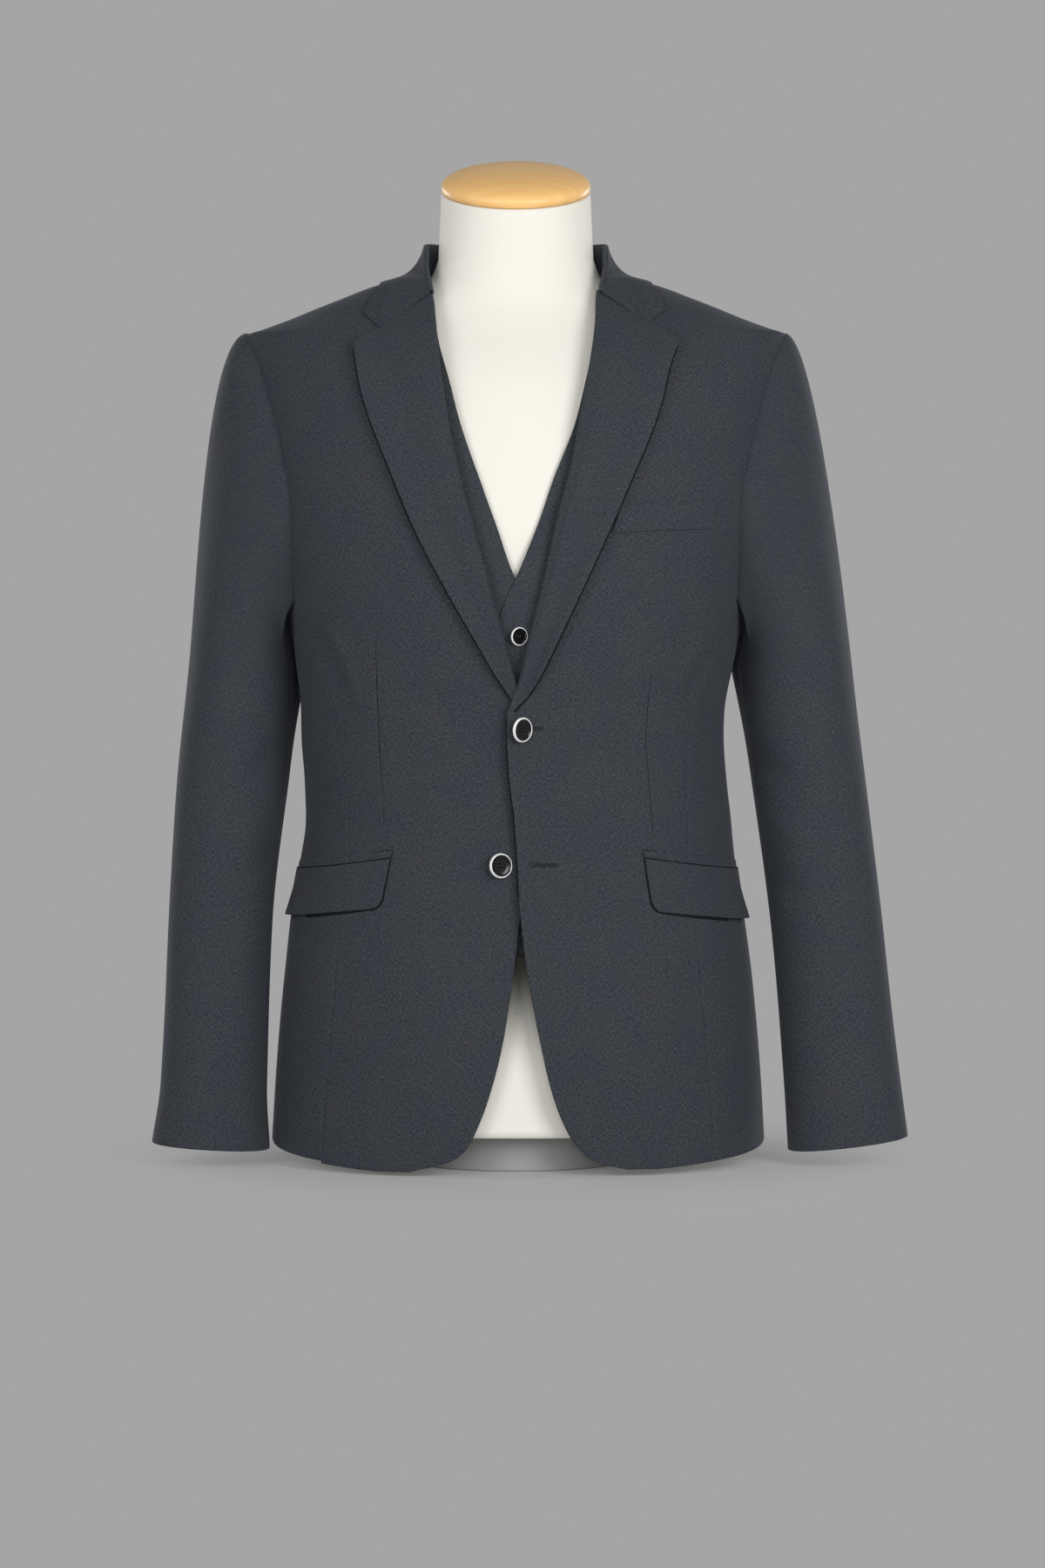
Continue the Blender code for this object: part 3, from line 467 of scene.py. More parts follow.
def clothShell(name, sheet, thick, finish, inside, uv, mirrored, sewn):
    # sheet with a real thickness, round where its edge is free; inside is the finish of its hidden face
    uv = gridMap(sheet) if uv is None else uv
    sewn = [word in sewn for word in ("low", "high", "start", "stop")]
    if mirrored:
        sheet, uv = sheet[:, ::-1], uv[:, ::-1]
        sewn = sewn[:2] + sewn[:1:-1]
    rounds = cloth["edgeSteps"]
    rows, cols = sheet.shape[:2]
    rowAt, colAt = np.arange(-rounds, rows + rounds), np.arange(-rounds, cols + rounds)
    r, c = np.clip(rowAt, 0, rows - 1), np.clip(colAt, 0, cols - 1)
    pastRow, pastCol = np.abs(rowAt - r), np.abs(colAt - c)
    rowReach, rowDrop = edgeProfile(pastRow, np.where(rowAt < 0, sewn[0], sewn[1]) & (pastRow > 0), thick)
    colReach, colDrop = edgeProfile(pastCol, np.where(colAt < 0, sewn[2], sewn[3]) & (pastCol > 0), thick)
    rowOut = np.where((rowAt < 0)[:, None, None], (sheet[0] - sheet[1])[c], (sheet[-1] - sheet[-2])[c])
    firstOut, lastOut = (sheet[:, 0] - sheet[:, 1])[r], (sheet[:, -1] - sheet[:, -2])[r]
    colOut = np.where((colAt < 0)[None, :, None], firstOut[:, None], lastOut[:, None])
    base, lean = sheet[r][:, c], gridNormal(sheet)[r][:, c]
    bulge = unit(rowOut) * rowReach[:, None, None] + unit(colOut) * colReach[None, :, None]
    corner = (pastRow[:, None] > 0) & (pastCol[None, :] > 0)
    bulge = np.where(corner[..., None], bulge * cloth["cornerPull"], bulge)
    drop = lean * np.maximum(rowDrop[:, None], colDrop[None, :])[..., None]
    outer = base + bulge - drop
    inner = base - lean * thick + bulge + drop
    high, wide = outer.shape[:2]
    front = np.arange(high * wide).reshape(high, wide)
    back = front.copy()
    back[1:-1, 1:-1] = high * wide + np.arange((high - 2) * (wide - 2)).reshape(high - 2, wide - 2)
    points = np.concatenate([outer.reshape(-1, 3), inner[1:-1, 1:-1].reshape(-1, 3)])
    uvAll = uv[r][:, c]
    uvs = np.concatenate([uvAll.reshape(-1, 2), uvAll[1:-1, 1:-1].reshape(-1, 2)])
    outQuads, inQuads = gridQuads(front), gridQuads(back)[:, ::-1]
    # the lining starts a little inside the edge
    hidden, margin = np.zeros((high - 1, wide - 1), int), rounds + 2
    hidden[margin:-margin, margin:-margin] = inside is not None
    slots = np.concatenate([np.zeros(len(outQuads), int), hidden.ravel()])
    finishes = [finish] if inside is None else [finish, inside]
    return makeMesh(name, points, np.concatenate([outQuads, inQuads]), uvs, finishes, slots)


def turnedShape(name, rings, finishes, slots=None):
    # closed round body from stacked rings, its ends closed to a point; slots holds a finish for each band
    rings = np.array(rings)
    count, around = rings.shape[:2]
    slots = slots or [0] * (count - 1)
    points = np.concatenate([rings.reshape(-1, 3), [rings[0].mean(axis=0), rings[-1].mean(axis=0)]])
    step = np.linalg.norm(np.diff(np.concatenate([rings, rings[:, :1]], axis=1), axis=1), axis=-1)
    u = np.concatenate([np.zeros((count, 1)), np.cumsum(step, axis=1)], axis=1)
    rise = np.concatenate([[0], np.cumsum(np.linalg.norm(np.diff(rings[:, 0], axis=0), axis=1))])
    spot = np.arange(count * around).reshape(count, around)
    loop = np.concatenate([spot, spot[:, :1]], axis=1)
    faces, uvs, index = [], [], []
    for r in range(count - 1):
        for c in range(around):
            faces.append((loop[r, c], loop[r, c + 1], loop[r + 1, c + 1], loop[r + 1, c]))
            # counted from the front both ways, so that the break is at the back
            low, high = (0, 0) if c < around // 2 else (u[r, -1], u[r + 1, -1])
            uvs += [(u[r, c] - low, rise[r]), (u[r, c + 1] - low, rise[r])]
            uvs += [(u[r + 1, c + 1] - high, rise[r + 1]), (u[r + 1, c] - high, rise[r + 1])]
            index.append(slots[r])
    for c in range(around):
        faces.append((count * around, loop[0, c + 1], loop[0, c]))
        faces.append((count * around + 1, loop[-1, c], loop[-1, c + 1]))
        uvs += [(0, 0)] * 6
        index += [slots[0], slots[-1]]
    mesh = bpy.data.meshes.new(name)
    mesh.from_pydata([tuple(p) for p in points], [], [tuple(int(i) for i in f) for f in faces])
    for paint in finishes:
        mesh.materials.append(paint)
    mesh.polygons.foreach_set("material_index", np.array(index, np.int32))
    mesh.polygons.foreach_set("use_smooth", np.ones(len(faces), bool))
    layer = mesh.uv_layers.new(name="clothMap")
    layer.data.foreach_set("uv", np.array(uvs, np.float32).ravel())
    mesh.update()
    return newPiece(name, mesh)


def dress(piece, nodes):
    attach(piece, "root")
    if nodes:
        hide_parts(*nodes)


def sewPiece(
    name, sheet, node, thick=cloth["leaf"], finish=jacketWool, inside=None, uv=None,
    mirrored=False, sewn=(),
):
    # one cut piece of cloth, from its outer face
    piece = clothShell(name, sheet, thick, finish, inside, uv, mirrored, sewn)
    dress(piece, [node])


# jacket body
def hemRise(turn, height):
    line = glide(bodyCut["hemLine"], 1, np.degrees(np.abs(turn))) - bodyCut["hem"]
    return line * (1 - np.clip(height / bodyCut["hemFade"], 0, 1))


def armholeEdge(height, behind):
    return turnAt(glide(bodyCut["armhole"], 2 if behind else 1, height), height, behind)


def seamTurn(behind, height):
    armpit = bodyCut["armpit"]
    ends = [np.degrees(float(armholeEdge(armpit, back))) for back in (False, True)]
    return np.radians(glide(bodyCut["sideSeams"] + [(armpit, *ends)], 2 if behind else 1, height))


def armholeTurn(height, behind):
    edge, seam = armholeEdge(height, behind), seamTurn(behind, height)
    top = np.where(height < bodyCut["shoulder"], edge, np.pi / 2)
    return np.where(height < bodyCut["armpit"], seam, top)


def bodyLevels(low, top):
    # heights of the rows, closer together over the shoulder
    levels, start = [[top]], low
    for stop, count in bodyCut["bands"]:
        if start < top:
            levels.append(np.linspace(start, stop, count, endpoint=False))
        start = stop
    levels = np.concatenate(levels)
    return np.unique(np.round(levels[levels <= top + 1e-9], 6))


def plainShares(count):
    return np.linspace(0, 1, count)[None, :]


def foldRise(side, turn, height):
    return creased(foldCut[side], np.degrees(turn) * foldCut["girth"], height)


def bodyPanel(word, side, levels, start, stop, shares, sewn, lift=None):
    # word is the panel's place, such as Front; lift is its rise over the body's surface
    allowance = (cloth["seamGap"] + cloth["seamRound"]) / glide(bodyCut["rows"], 1, levels)
    first, last = start + allowance * ("start" in sewn), stop - allowance * ("stop" in sewn)
    turn = first[:, None] + (last - first)[:, None] * shares
    height = levels[:, None] + hemRise(turn, levels[:, None])
    x = body(turn, height)[..., 0]
    rise = foldRise(side, turn, height) - bodyCut["seat"] + (lift(x, height) if lift else 0)
    sheet = onBody(turn, height, rise)
    uv = gridMap(sheet, start=x[:, 0])
    sewPiece(
        "jacket" + word + sideWord[side], settled(sheet, side), "jacket_" + word.lower() + nodeWord[side],
        thick=cloth["thick"], inside=liningSatin, uv=uv, mirrored=side == right, sewn=sewn,
    )


def settled(points, side):
    # the jacket hangs a little askew: seen from the front it sways and its shoulders sink unevenly
    points = sided(points, side)
    x, z = points[..., 0], points[..., 2]
    sway = glide(bodyCut["sway"], 1, z) * ease(*bodyCut["swayReach"], np.abs(x))
    sink = np.where(x < 0, bodyCut["sink"][right], bodyCut["sink"][left])
    sink = sink * ease(*bodyCut["sinkReach"], np.abs(x)) * ease(*bodyCut["sinkHeight"], z)
    return np.stack([x + sway, points[..., 1], z - sink], axis=-1)


frontCut = {
    # height, distance of the cut edge from the centre toward the wearer's own side
    left: [
        (0.006, 0.088), (0.012, 0.064), (0.020, 0.053), (0.035, 0.042), (0.068, 0.029),
        (0.107, 0.020), (0.161, 0.010), (0.215, 0.0039), (0.256, 0.0017), (0.284, -0.0005),
        (0.325, -0.0050), (0.350, -0.0060), (0.366, -0.0058), (0.378, -0.0020), (0.386, 0.0011),
        (0.417, 0.0099), (0.477, 0.0250), (0.517, 0.034), (0.558, 0.045), (0.597, 0.0525),
        (0.640, 0.0605), (0.678, 0.0655), (0.704, 0.067), (0.714, 0.073), (0.719, 0.0775),
        (0.7225, 0.0795),
    ],
    right: [
        (0.004, 0.087), (0.012, 0.054), (0.022, 0.0405), (0.037, 0.032), (0.068, 0.0205),
        (0.106, 0.011), (0.150, 0.004), (0.180, 0.000), (0.217, -0.0055), (0.235, -0.0185),
        (0.372, -0.0185), (0.380, -0.0080), (0.386, -0.0014), (0.394, 0.0014), (0.417, 0.0085),
        (0.486, 0.028), (0.517, 0.0365), (0.546, 0.0445), (0.600, 0.056), (0.651, 0.0635),
        (0.697, 0.068), (0.707, 0.0705), (0.714, 0.074), (0.719, 0.0775), (0.7225, 0.0795),
    ],
    "columns": (38, 25),  # inside and outside the dart
    "loose": {left: 0.0055, right: 0.0},
    "looseWidth": 0.012,
    "looseLow": (0.01, 0.05),
    "looseHigh": (0.36, 0.40),
    # height, distance of the waist dart from the centre
    "dart": [(0.0, 0.112), (0.255, 0.1075), (0.34, 0.1065), (0.43, 0.1115), (0.50, 0.114), (0.72, 0.09)],
    "dartTop": {left: 0.428, right: 0.452},
    "dartFoot": 0.262,
    "dartFade": (0.01, 0.02, 0.05),
    "dartDepth": 0.0005,
    "dartWidth": 0.0007,
    "dartShare": (0.25, 0.80),
    "dartColumns": (-1.6, -0.8, 0, 0.8, 1.6),
    "dartClear": 2.5,
    "dartStep": cloth["thick"] / 3 / 0.18,  # a third of the cloth's thickness as a turn of the body
}
# soft folds of the jacket's body in metres: both ends, each as turn in degrees * girth and height,
# then width, rise and bow
foldCut = {
    "girth": 0.0029,
    right: [
        (0.180, 0.440, 0.146, 0.375, 0.006, 0.0016, 0.004),
        (0.196, 0.440, 0.160, 0.365, 0.008, -0.0014, 0.004),
        (0.025, 0.352, 0.095, 0.380, 0.012, -0.0007, 0.0),
        (0.018, 0.345, 0.088, 0.318, 0.013, -0.0008, 0.0),
        (0.045, 0.350, 0.110, 0.345, 0.011, 0.0006, 0.0),
        (0.130, 0.300, 0.240, 0.285, 0.012, -0.0010, 0.0),
        (0.150, 0.262, 0.260, 0.255, 0.012, 0.0007, 0.0),
        (0.075, 0.190, 0.095, 0.020, 0.024, 0.0012, 0.0),
        (0.150, 0.190, 0.160, 0.020, 0.022, -0.0012, 0.0),
        (0.215, 0.190, 0.225, 0.020, 0.024, 0.0012, 0.0),
        (0.090, 0.560, 0.120, 0.480, 0.022, 0.0010, 0.0),
    ],
    left: [
        (0.184, 0.436, 0.152, 0.368, 0.008, 0.0010, 0.003),
        (0.198, 0.440, 0.168, 0.370, 0.008, -0.0012, 0.003),
        (0.024, 0.356, 0.092, 0.386, 0.012, -0.0007, 0.0),
        (0.022, 0.345, 0.090, 0.316, 0.013, -0.0008, 0.0),
        (0.050, 0.352, 0.112, 0.350, 0.011, 0.0006, 0.0),
        (0.125, 0.305, 0.235, 0.292, 0.012, -0.0010, 0.0),
        (0.080, 0.190, 0.105, 0.020, 0.024, 0.0012, 0.0),
        (0.155, 0.190, 0.165, 0.020, 0.022, -0.0012, 0.0),
        (0.220, 0.190, 0.232, 0.020, 0.024, 0.0012, 0.0),
        (0.150, 0.570, 0.130, 0.490, 0.022, 0.0008, 0.0),
    ],
}
backFolds = [
    (0.515, 0.300, 0.420, 0.272, 0.011, -0.0014, 0.0),
    (0.505, 0.335, 0.400, 0.322, 0.012, -0.0011, 0.0),
    (0.485, 0.270, 0.410, 0.245, 0.010, 0.0010, 0.0),
    (0.355, 0.450, 0.405, 0.355, 0.011, -0.0014, 0.006),
    (0.345, 0.560, 0.365, 0.440, 0.014, 0.0012, 0.005),
    (0.430, 0.180, 0.420, 0.020, 0.026, 0.0018, 0.0),
    (0.330, 0.200, 0.320, 0.020, 0.026, -0.0016, 0.0),
    (0.495, 0.690, 0.400, 0.668, 0.010, -0.0008, 0.0),
]
backSkew = 0.010
for side in (left, right):
    skew = backSkew * side
    foldCut[side] += [(a0, b0 + skew, a1, b1 + skew, *rest) for a0, b0, a1, b1, *rest in backFolds]


def frontRise(side, x, height):
    # the lap of the two fronts, and the wearer's left edge standing off a little
    edge = (x - glide(frontCut[side], 1, height)) / frontCut["looseWidth"]
    span = ease(*frontCut["looseLow"], height) * (1 - ease(*frontCut["looseHigh"], height))
    return lapRise(side, x, height) + frontCut["loose"][side] * np.exp(-(edge**2)) * span


def onFront(side, x, height, lift):
    # point of the finished jacket front, with its lap and folds
    turn = turnAt(x, height)
    rise = lift + frontRise(side, x, height) + foldRise(side, turn, height)
    return settled(onBody(turn, height, rise), side)


def jacketFront(side):
    levels = bodyLevels(frontCut[side][0][0], bodyCut["neckline"])
    start, stop = turnAt(glide(frontCut[side], 1, levels), levels), armholeTurn(levels, False)
    # the columns crowd at the dart
    dart = turnAt(glide(frontCut["dart"], 1, levels), levels)
    share = np.clip((dart - start) / (stop - start), *frontCut["dartShare"])[:, None]
    step = (frontCut["dartStep"] / (stop - start))[:, None]
    clear = frontCut["dartClear"] * step
    inner, outer = (plainShares(count) for count in frontCut["columns"])
    middle = share + step * np.array([frontCut["dartColumns"]])
    shares = [inner * (share - clear), middle, share + clear + outer * (1 - share - clear)]

    def lift(x, height):
        off = (x - glide(frontCut["dart"], 1, height)) / frontCut["dartWidth"]
        foot, top = frontCut["dartFoot"], frontCut["dartTop"][side]
        before, after, below = frontCut["dartFade"]
        ends = ease(foot - before, foot + after, height) * (1 - ease(top - below, top, height))
        return frontRise(side, x, height) - frontCut["dartDepth"] * np.exp(-(off**2)) * ends

    bodyPanel("Front", side, levels, start, stop, np.concatenate(shares, axis=1), ("stop",), lift)


def jacketSide(side):
    levels = bodyLevels(bodyCut["hem"], bodyCut["armpit"] - bodyCut["underArm"])
    shares = plainShares(bodyCut["columns"]["side"])
    start, stop = seamTurn(False, levels), seamTurn(True, levels)
    bodyPanel("Side", side, levels, start, stop, shares, ("start", "stop", "high"))


def jacketBack(side):
    levels = bodyLevels(bodyCut["hem"], bodyCut["neckline"])
    shares = plainShares(bodyCut["columns"]["back"])
    start, stop = armholeTurn(levels, True), np.full(len(levels), np.pi)
    bodyPanel("Back", side, levels, start, stop, shares, ("start", "stop"))


for side in (left, right):
    jacketFront(side)
    jacketSide(side)
    jacketBack(side)
print("jacket body ready")

# sleeves
sleeveCut = {
    # height, centre x, half width, centre y, half depth, rise toward the outside, fullness behind the armpit
    left: [
        (0.400, 0.2295, 0.0467, 0.004, 0.060, 0.00, 0.011),
        (0.321, 0.2385, 0.0460, -0.004, 0.054, 0.00, 0.003),
        (0.193, 0.2535, 0.0451, -0.020, 0.046, 0.00, 0),
        (0.064, 0.2656, 0.0472, -0.040, 0.040, 0.06, 0),
        (0.018, 0.2696, 0.0486, -0.046, 0.0385, 0.12, 0),
    ],
    right: [
        (0.400, 0.2252, 0.0436, 0.004, 0.060, 0.00, 0.015),
        (0.321, 0.2315, 0.0447, -0.004, 0.054, 0.00, 0.005),
        (0.193, 0.2412, 0.0420, -0.020, 0.046, 0.00, 0),
        (0.064, 0.2457, 0.0432, -0.040, 0.040, 0.03, 0),
        (0.016, 0.2477, 0.0477, -0.046, 0.0385, 0.06, 0),
    ],
    "head": {left: 1.0, right: 1.4},
    "square": 2.15,
    "start": 0.0003,
    "tuck": (0.0012, 0.0026),
    "seams": (160, 300),
    "radius": 0.05,
    "columns": {"topSleeve": 60, "underSleeve": 54},
    "capRows": 56,
    "capCrowd": 1.25,
    "armRows": 84,
    "loopSteps": (120, 30),  # down each side of the armhole, and under the arm
    "capMatch": 0.54,
    "probe": 0.02,
    # turn round the sleeve (0 outer, 90 front, 180 inner), leaving direction, its reach, arrival reach
    "cap": [
        (0, 0.96, 0.00, -0.28, 0.075, 0.22), (45, 0.80, -0.28, -0.50, 0.080, 0.16),
        (90, 0.62, -0.22, -0.75, 0.090, 0.11), (135, 0.55, -0.10, -0.83, 0.060, 0.07),
        (180, 0.55, 0.00, -0.83, 0.035, 0.04), (225, 0.50, 0.12, -0.86, 0.060, 0.07),
        (270, 0.58, 0.28, -0.77, 0.090, 0.11), (315, 0.80, 0.28, -0.50, 0.080, 0.16),
        (360, 0.96, 0.00, -0.28, 0.075, 0.22),
    ],
    # both ends of each crease as turn in degrees and way, then width in quarter turns, rise and bow;
    # the way down the sleeve is 0 at the armhole, 1 on the upper arm and 2 at the cuff
    "creases": {
        left: [
            (100, 1.25, 175, 1.16, 0.035, -0.0022, 0.0),
            (95, 1.36, 170, 1.30, 0.030, 0.0014, 0.0),
            (105, 1.48, 180, 1.40, 0.040, -0.0018, 0.0),
            (30, 1.15, 20, 1.75, 0.30, 0.0016, 0.0),
            (150, 0.45, 140, 1.0, 0.16, -0.0022, 0.0),
            (240, 1.30, 300, 1.22, 0.040, -0.0020, 0.0),
            (230, 1.45, 295, 1.40, 0.035, 0.0013, 0.0),
        ],
        right: [
            (105, 1.22, 170, 1.14, 0.035, -0.0020, 0.0),
            (100, 1.33, 172, 1.27, 0.030, 0.0013, 0.0),
            (95, 1.44, 175, 1.38, 0.038, -0.0018, 0.0),
            (35, 1.10, 28, 1.70, 0.30, 0.0015, 0.0),
            (150, 0.45, 142, 1.0, 0.16, -0.0020, 0.0),
            (235, 1.27, 300, 1.20, 0.040, -0.0020, 0.0),
            (230, 1.42, 295, 1.36, 0.035, 0.0012, 0.0),
        ],
    },
}


def armholeLoop(turn):
    # point of the armhole seam at a turn round the sleeve, for the left side
    top, armpit = bodyCut["shoulder"], bodyCut["armpit"]
    steps, underSteps = sleeveCut["loopSteps"]
    down = np.linspace(top, armpit, steps)
    front, back = (armholeTurn(down - 1e-6, behind) for behind in (False, True))
    front[-1], back[-1] = seamTurn(False, armpit), seamTurn(True, armpit)
    under = np.linspace(front[-1], back[-1], underSteps)[1:-1]
    turns = np.concatenate([front, under, back[::-1]])
    heights = np.concatenate([down, np.full(len(under), armpit), down[::-1]])
    line = body(turns, heights)
    run = np.concatenate([[0], np.cumsum(np.linalg.norm(np.diff(line, axis=0), axis=1))])
    match = top - sleeveCut["capMatch"]
    frontMatch = np.interp(match, top - down, run[:steps])
    backMatch = run[-1] - np.interp(match, top - down, run[-1] - run[:-steps - 1:-1])
    bottom = (run[steps - 1] + run[-steps]) / 2
    quarters = np.radians([0, 90, 180, 270, 360])
    way = np.interp(np.mod(turn, 2 * np.pi), quarters, [0, frontMatch, bottom, backMatch, run[-1]])
    return np.stack([np.interp(way, run, line[:, k]) for k in range(3)], axis=-1)


def sleeveSection(side, turn, height):
    across, half, deep, depth, rise, full = (glide(sleeveCut[side][::-1], k, height) for k in range(1, 7))
    c, s = np.cos(turn), np.sin(turn)
    power = 2 / sleeveCut["square"]
    x = across + half * np.sign(c) * np.abs(c) ** power - full * 2 * np.maximum(-c, 0) * np.maximum(-s, 0)
    y = deep - depth * np.sign(s) * np.abs(s) ** power
    return np.stack([x, y, height + (x - across) * rise], axis=-1)


def capAim(degrees):
    # direction in which the sleeve leaves the armhole
    return unit(np.stack([glide(sleeveCut["cap"], k, degrees) for k in (1, 2, 3)], axis=-1))


def sleevePoint(side, turn, way):
    degrees = np.degrees(np.mod(turn, 2 * np.pi))
    leave = capAim(degrees)
    start = armholeLoop(turn) + leave * sleeveCut["start"]
    top, cuff = sleeveCut[side][0][0], sleeveCut[side][-1][0]
    finish = sleeveSection(side, turn, top + 0 * turn)
    after = sleeveSection(side, turn, top - sleeveCut["probe"] + 0 * turn)
    arrive = unit(after - finish) * glide(sleeveCut["cap"], 5, degrees)[..., None]
    leave = leave * glide(sleeveCut["cap"], 4, degrees)[..., None] * np.array([sleeveCut["head"][side], 1, 1])
    cap = curved(np.clip(way, 0, 1)[..., None], start, finish, leave, arrive)
    height = top + (cuff - top) * np.clip(way - 1, 0, 1)
    return np.where((way < 1)[..., None], cap, sleeveSection(side, turn, height))


def sleevePiece(side, first, last, word, node):
    gap = np.degrees((cloth["seamGap"] + cloth["seamRound"]) / sleeveCut["radius"])
    turns = np.radians(np.linspace(first + gap, last - gap, sleeveCut["columns"][word]))
    capWays = np.linspace(0, 1, sleeveCut["capRows"], endpoint=False) ** sleeveCut["capCrowd"]
    turn, way = np.meshgrid(turns, np.concatenate([capWays, np.linspace(1, 2, sleeveCut["armRows"])]))
    patch = lambda u, v: sleevePoint(side, u, np.clip(v, 0, 2))
    degrees = np.degrees(np.mod(turn, 2 * np.pi))
    creases = [(a0 / 90, b0, a1 / 90, b1, *rest) for a0, b0, a1, b1, *rest in sleeveCut["creases"][side]]
    rise = creased(creases, degrees / 90, way)
    sheet = patch(turn, way) + outward(patch, turn, way) * rise[..., None]
    # the first row is tucked in under the armhole's edge
    seam = armholeLoop(turns)
    under = outward(body, np.arctan2(seam[:, 0], -seam[:, 1]), seam[:, 2])
    back, deep = sleeveCut["tuck"]
    sheet = np.concatenate([(seam - capAim(degrees[0]) * back - under * deep)[None], sheet])
    sewPiece(
        word + sideWord[side], sided(sheet[::-1], side), node + nodeWord[side], inside=liningSatin,
        uv=gridMap(sheet)[::-1], mirrored=side == left, sewn=("high", "start", "stop"),
    )


for side in (left, right):
    fore, hind = sleeveCut["seams"]
    sleevePiece(side, hind - 360, fore, "topSleeve", "top_sleeve")
    sleevePiece(side, fore, hind, "underSleeve", "under_sleeve")
print("sleeves ready")

# lapels and collar
lapelCut = {
    left: [
        (0.369, -0.0015), (0.3746, 0.0030), (0.3815, 0.0092), (0.398, 0.0192), (0.420, 0.0300),
        (0.484, 0.060), (0.545, 0.087), (0.611, 0.113), (0.643, 0.121), (0.661, 0.128),
    ],
    right: [
        (0.367, -0.0040), (0.3777, 0.0026), (0.402, 0.018), (0.426, 0.0315), (0.460, 0.051), (0.514, 0.079),
        (0.564, 0.0995), (0.598, 0.113), (0.628, 0.122), (0.660, 0.1275),
    ],
    "rollStart": {left: 0.386, right: 0.381},
    "gorgeTop": 0.7040,
    # the notch's vertex and the collar's tip as x, height
    "notch": {left: (0.1051, 0.6790), right: (0.1078, 0.6744)},
    "tip": {left: (0.1186, 0.6894), right: (0.1214, 0.6868)},
    "notchAt": 0.66,
    "columns": (24, 13),  # inside and outside the notch
    "rows": 120,
    "nearTop": (0.80, 1.0),
    "lift": 0.0056,
    "liftSpan": (0.50, 1.0),
    "liftFoot": (0.0, 0.15),
    "settle": (0, 0.30),
    "roll": 0.0024,
    "rollIn": (0, 0.16),
    "rollOut": (0.16, 0.85),
    "rollFull": 0.6,
    "flush": (0.88, 1.0),
    "flushOut": 0.86,
    "thinFoot": 0.3,
    "foldRadius": 0.0029,
    "foldCentre": -0.0009,
    "foldFoot": (0, 0.12),
    "foldSteps": 7,
    "foldSweep": np.radians(140),
}


def lapelSpot(side, across, way):
    rollStart, topHeight = lapelCut["rollStart"][side], lapelCut["gorgeTop"]
    rollHeight = rollStart + (topHeight - rollStart) * way
    rollX = glide(frontCut[side], 1, rollHeight)
    (lowHeight, _), *_, (outerHeight, outerX) = lapelCut[side]
    edgeHeight = lowHeight + (outerHeight - lowHeight) * way
    edgeX = glide(lapelCut[side], 1, edgeHeight)
    x, height = rollX + (edgeX - rollX) * across, rollHeight + (edgeHeight - rollHeight) * across
    # the top row turns at the notch: gorge seam inside it, free top edge outside it
    innerX, (notchX, notchHeight) = glide(frontCut[side], 1, topHeight), lapelCut["notch"][side]
    keys, near = (0, lapelCut["notchAt"], 1), ease(*lapelCut["nearTop"], way)
    turnX = np.interp(across, keys, (innerX, notchX, outerX))
    turnHeight = np.interp(across, keys, (topHeight, notchHeight, outerHeight))
    x = x + (turnX - innerX - (outerX - innerX) * across) * near
    return x, height + (turnHeight - topHeight - (outerHeight - topHeight) * across) * near


lapelRims = {}


def lapel(side):
    notch, (inner, outer) = lapelCut["notchAt"], lapelCut["columns"]
    columns = stepped(0, [(notch, inner), (1, outer)])
    across, way = np.meshgrid(columns, np.linspace(0, 1, lapelCut["rows"]))
    x, height = lapelSpot(side, across, way)
    turn = turnAt(x, height)
    normal = outward(body, turn, height)
    top = lapelCut["foldCentre"] + lapelCut["foldRadius"]
    settle = (top - cloth["lay"] - cloth["leaf"]) * (1 - ease(*lapelCut["settle"], across))
    roll = lapelCut["roll"] * ease(*lapelCut["rollIn"], across) * (1 - ease(*lapelCut["rollOut"], across))
    roll = roll * np.sin(np.pi * way) ** lapelCut["rollFull"]
    flush = ease(*lapelCut["flush"], way) * (1 - ease(notch, lapelCut["flushOut"], across))
    thin = lapelCut["thinFoot"]
    lift = lapelCut["lift"] * ease(*lapelCut["liftSpan"], across) * (1 - flush)
    lift = lift * (thin + (1 - thin) * ease(*lapelCut["liftFoot"], way))
    rise = lapRise(side, x, height) + cloth["lay"] + cloth["leaf"] + settle + roll + lift
    leaf = body(turn, height) + normal * rise[..., None]
    lapelRims[side] = leaf[:, -1]
    inward = unit(leaf[:, 0] - leaf[:, 1])
    radius = lapelCut["foldRadius"] * (thin + (1 - thin) * ease(*lapelCut["foldFoot"], way[:, :1]))
    centre = leaf[:, 0] - normal[:, 0] * radius
    sweep = np.linspace(lapelCut["foldSweep"], 0, lapelCut["foldSteps"], endpoint=False)[None, :, None]
    arc = np.sin(sweep) * inward[:, None] + np.cos(sweep) * normal[:, :1]
    sheet = np.concatenate([centre[:, None] + radius[..., None] * arc, leaf], axis=1)
    sewPiece(
        "lapel" + sideWord[side], settled(sheet, side), "lapel" + nodeWord[side], uv=gridMap(sheet),
        mirrored=side == right,
    )


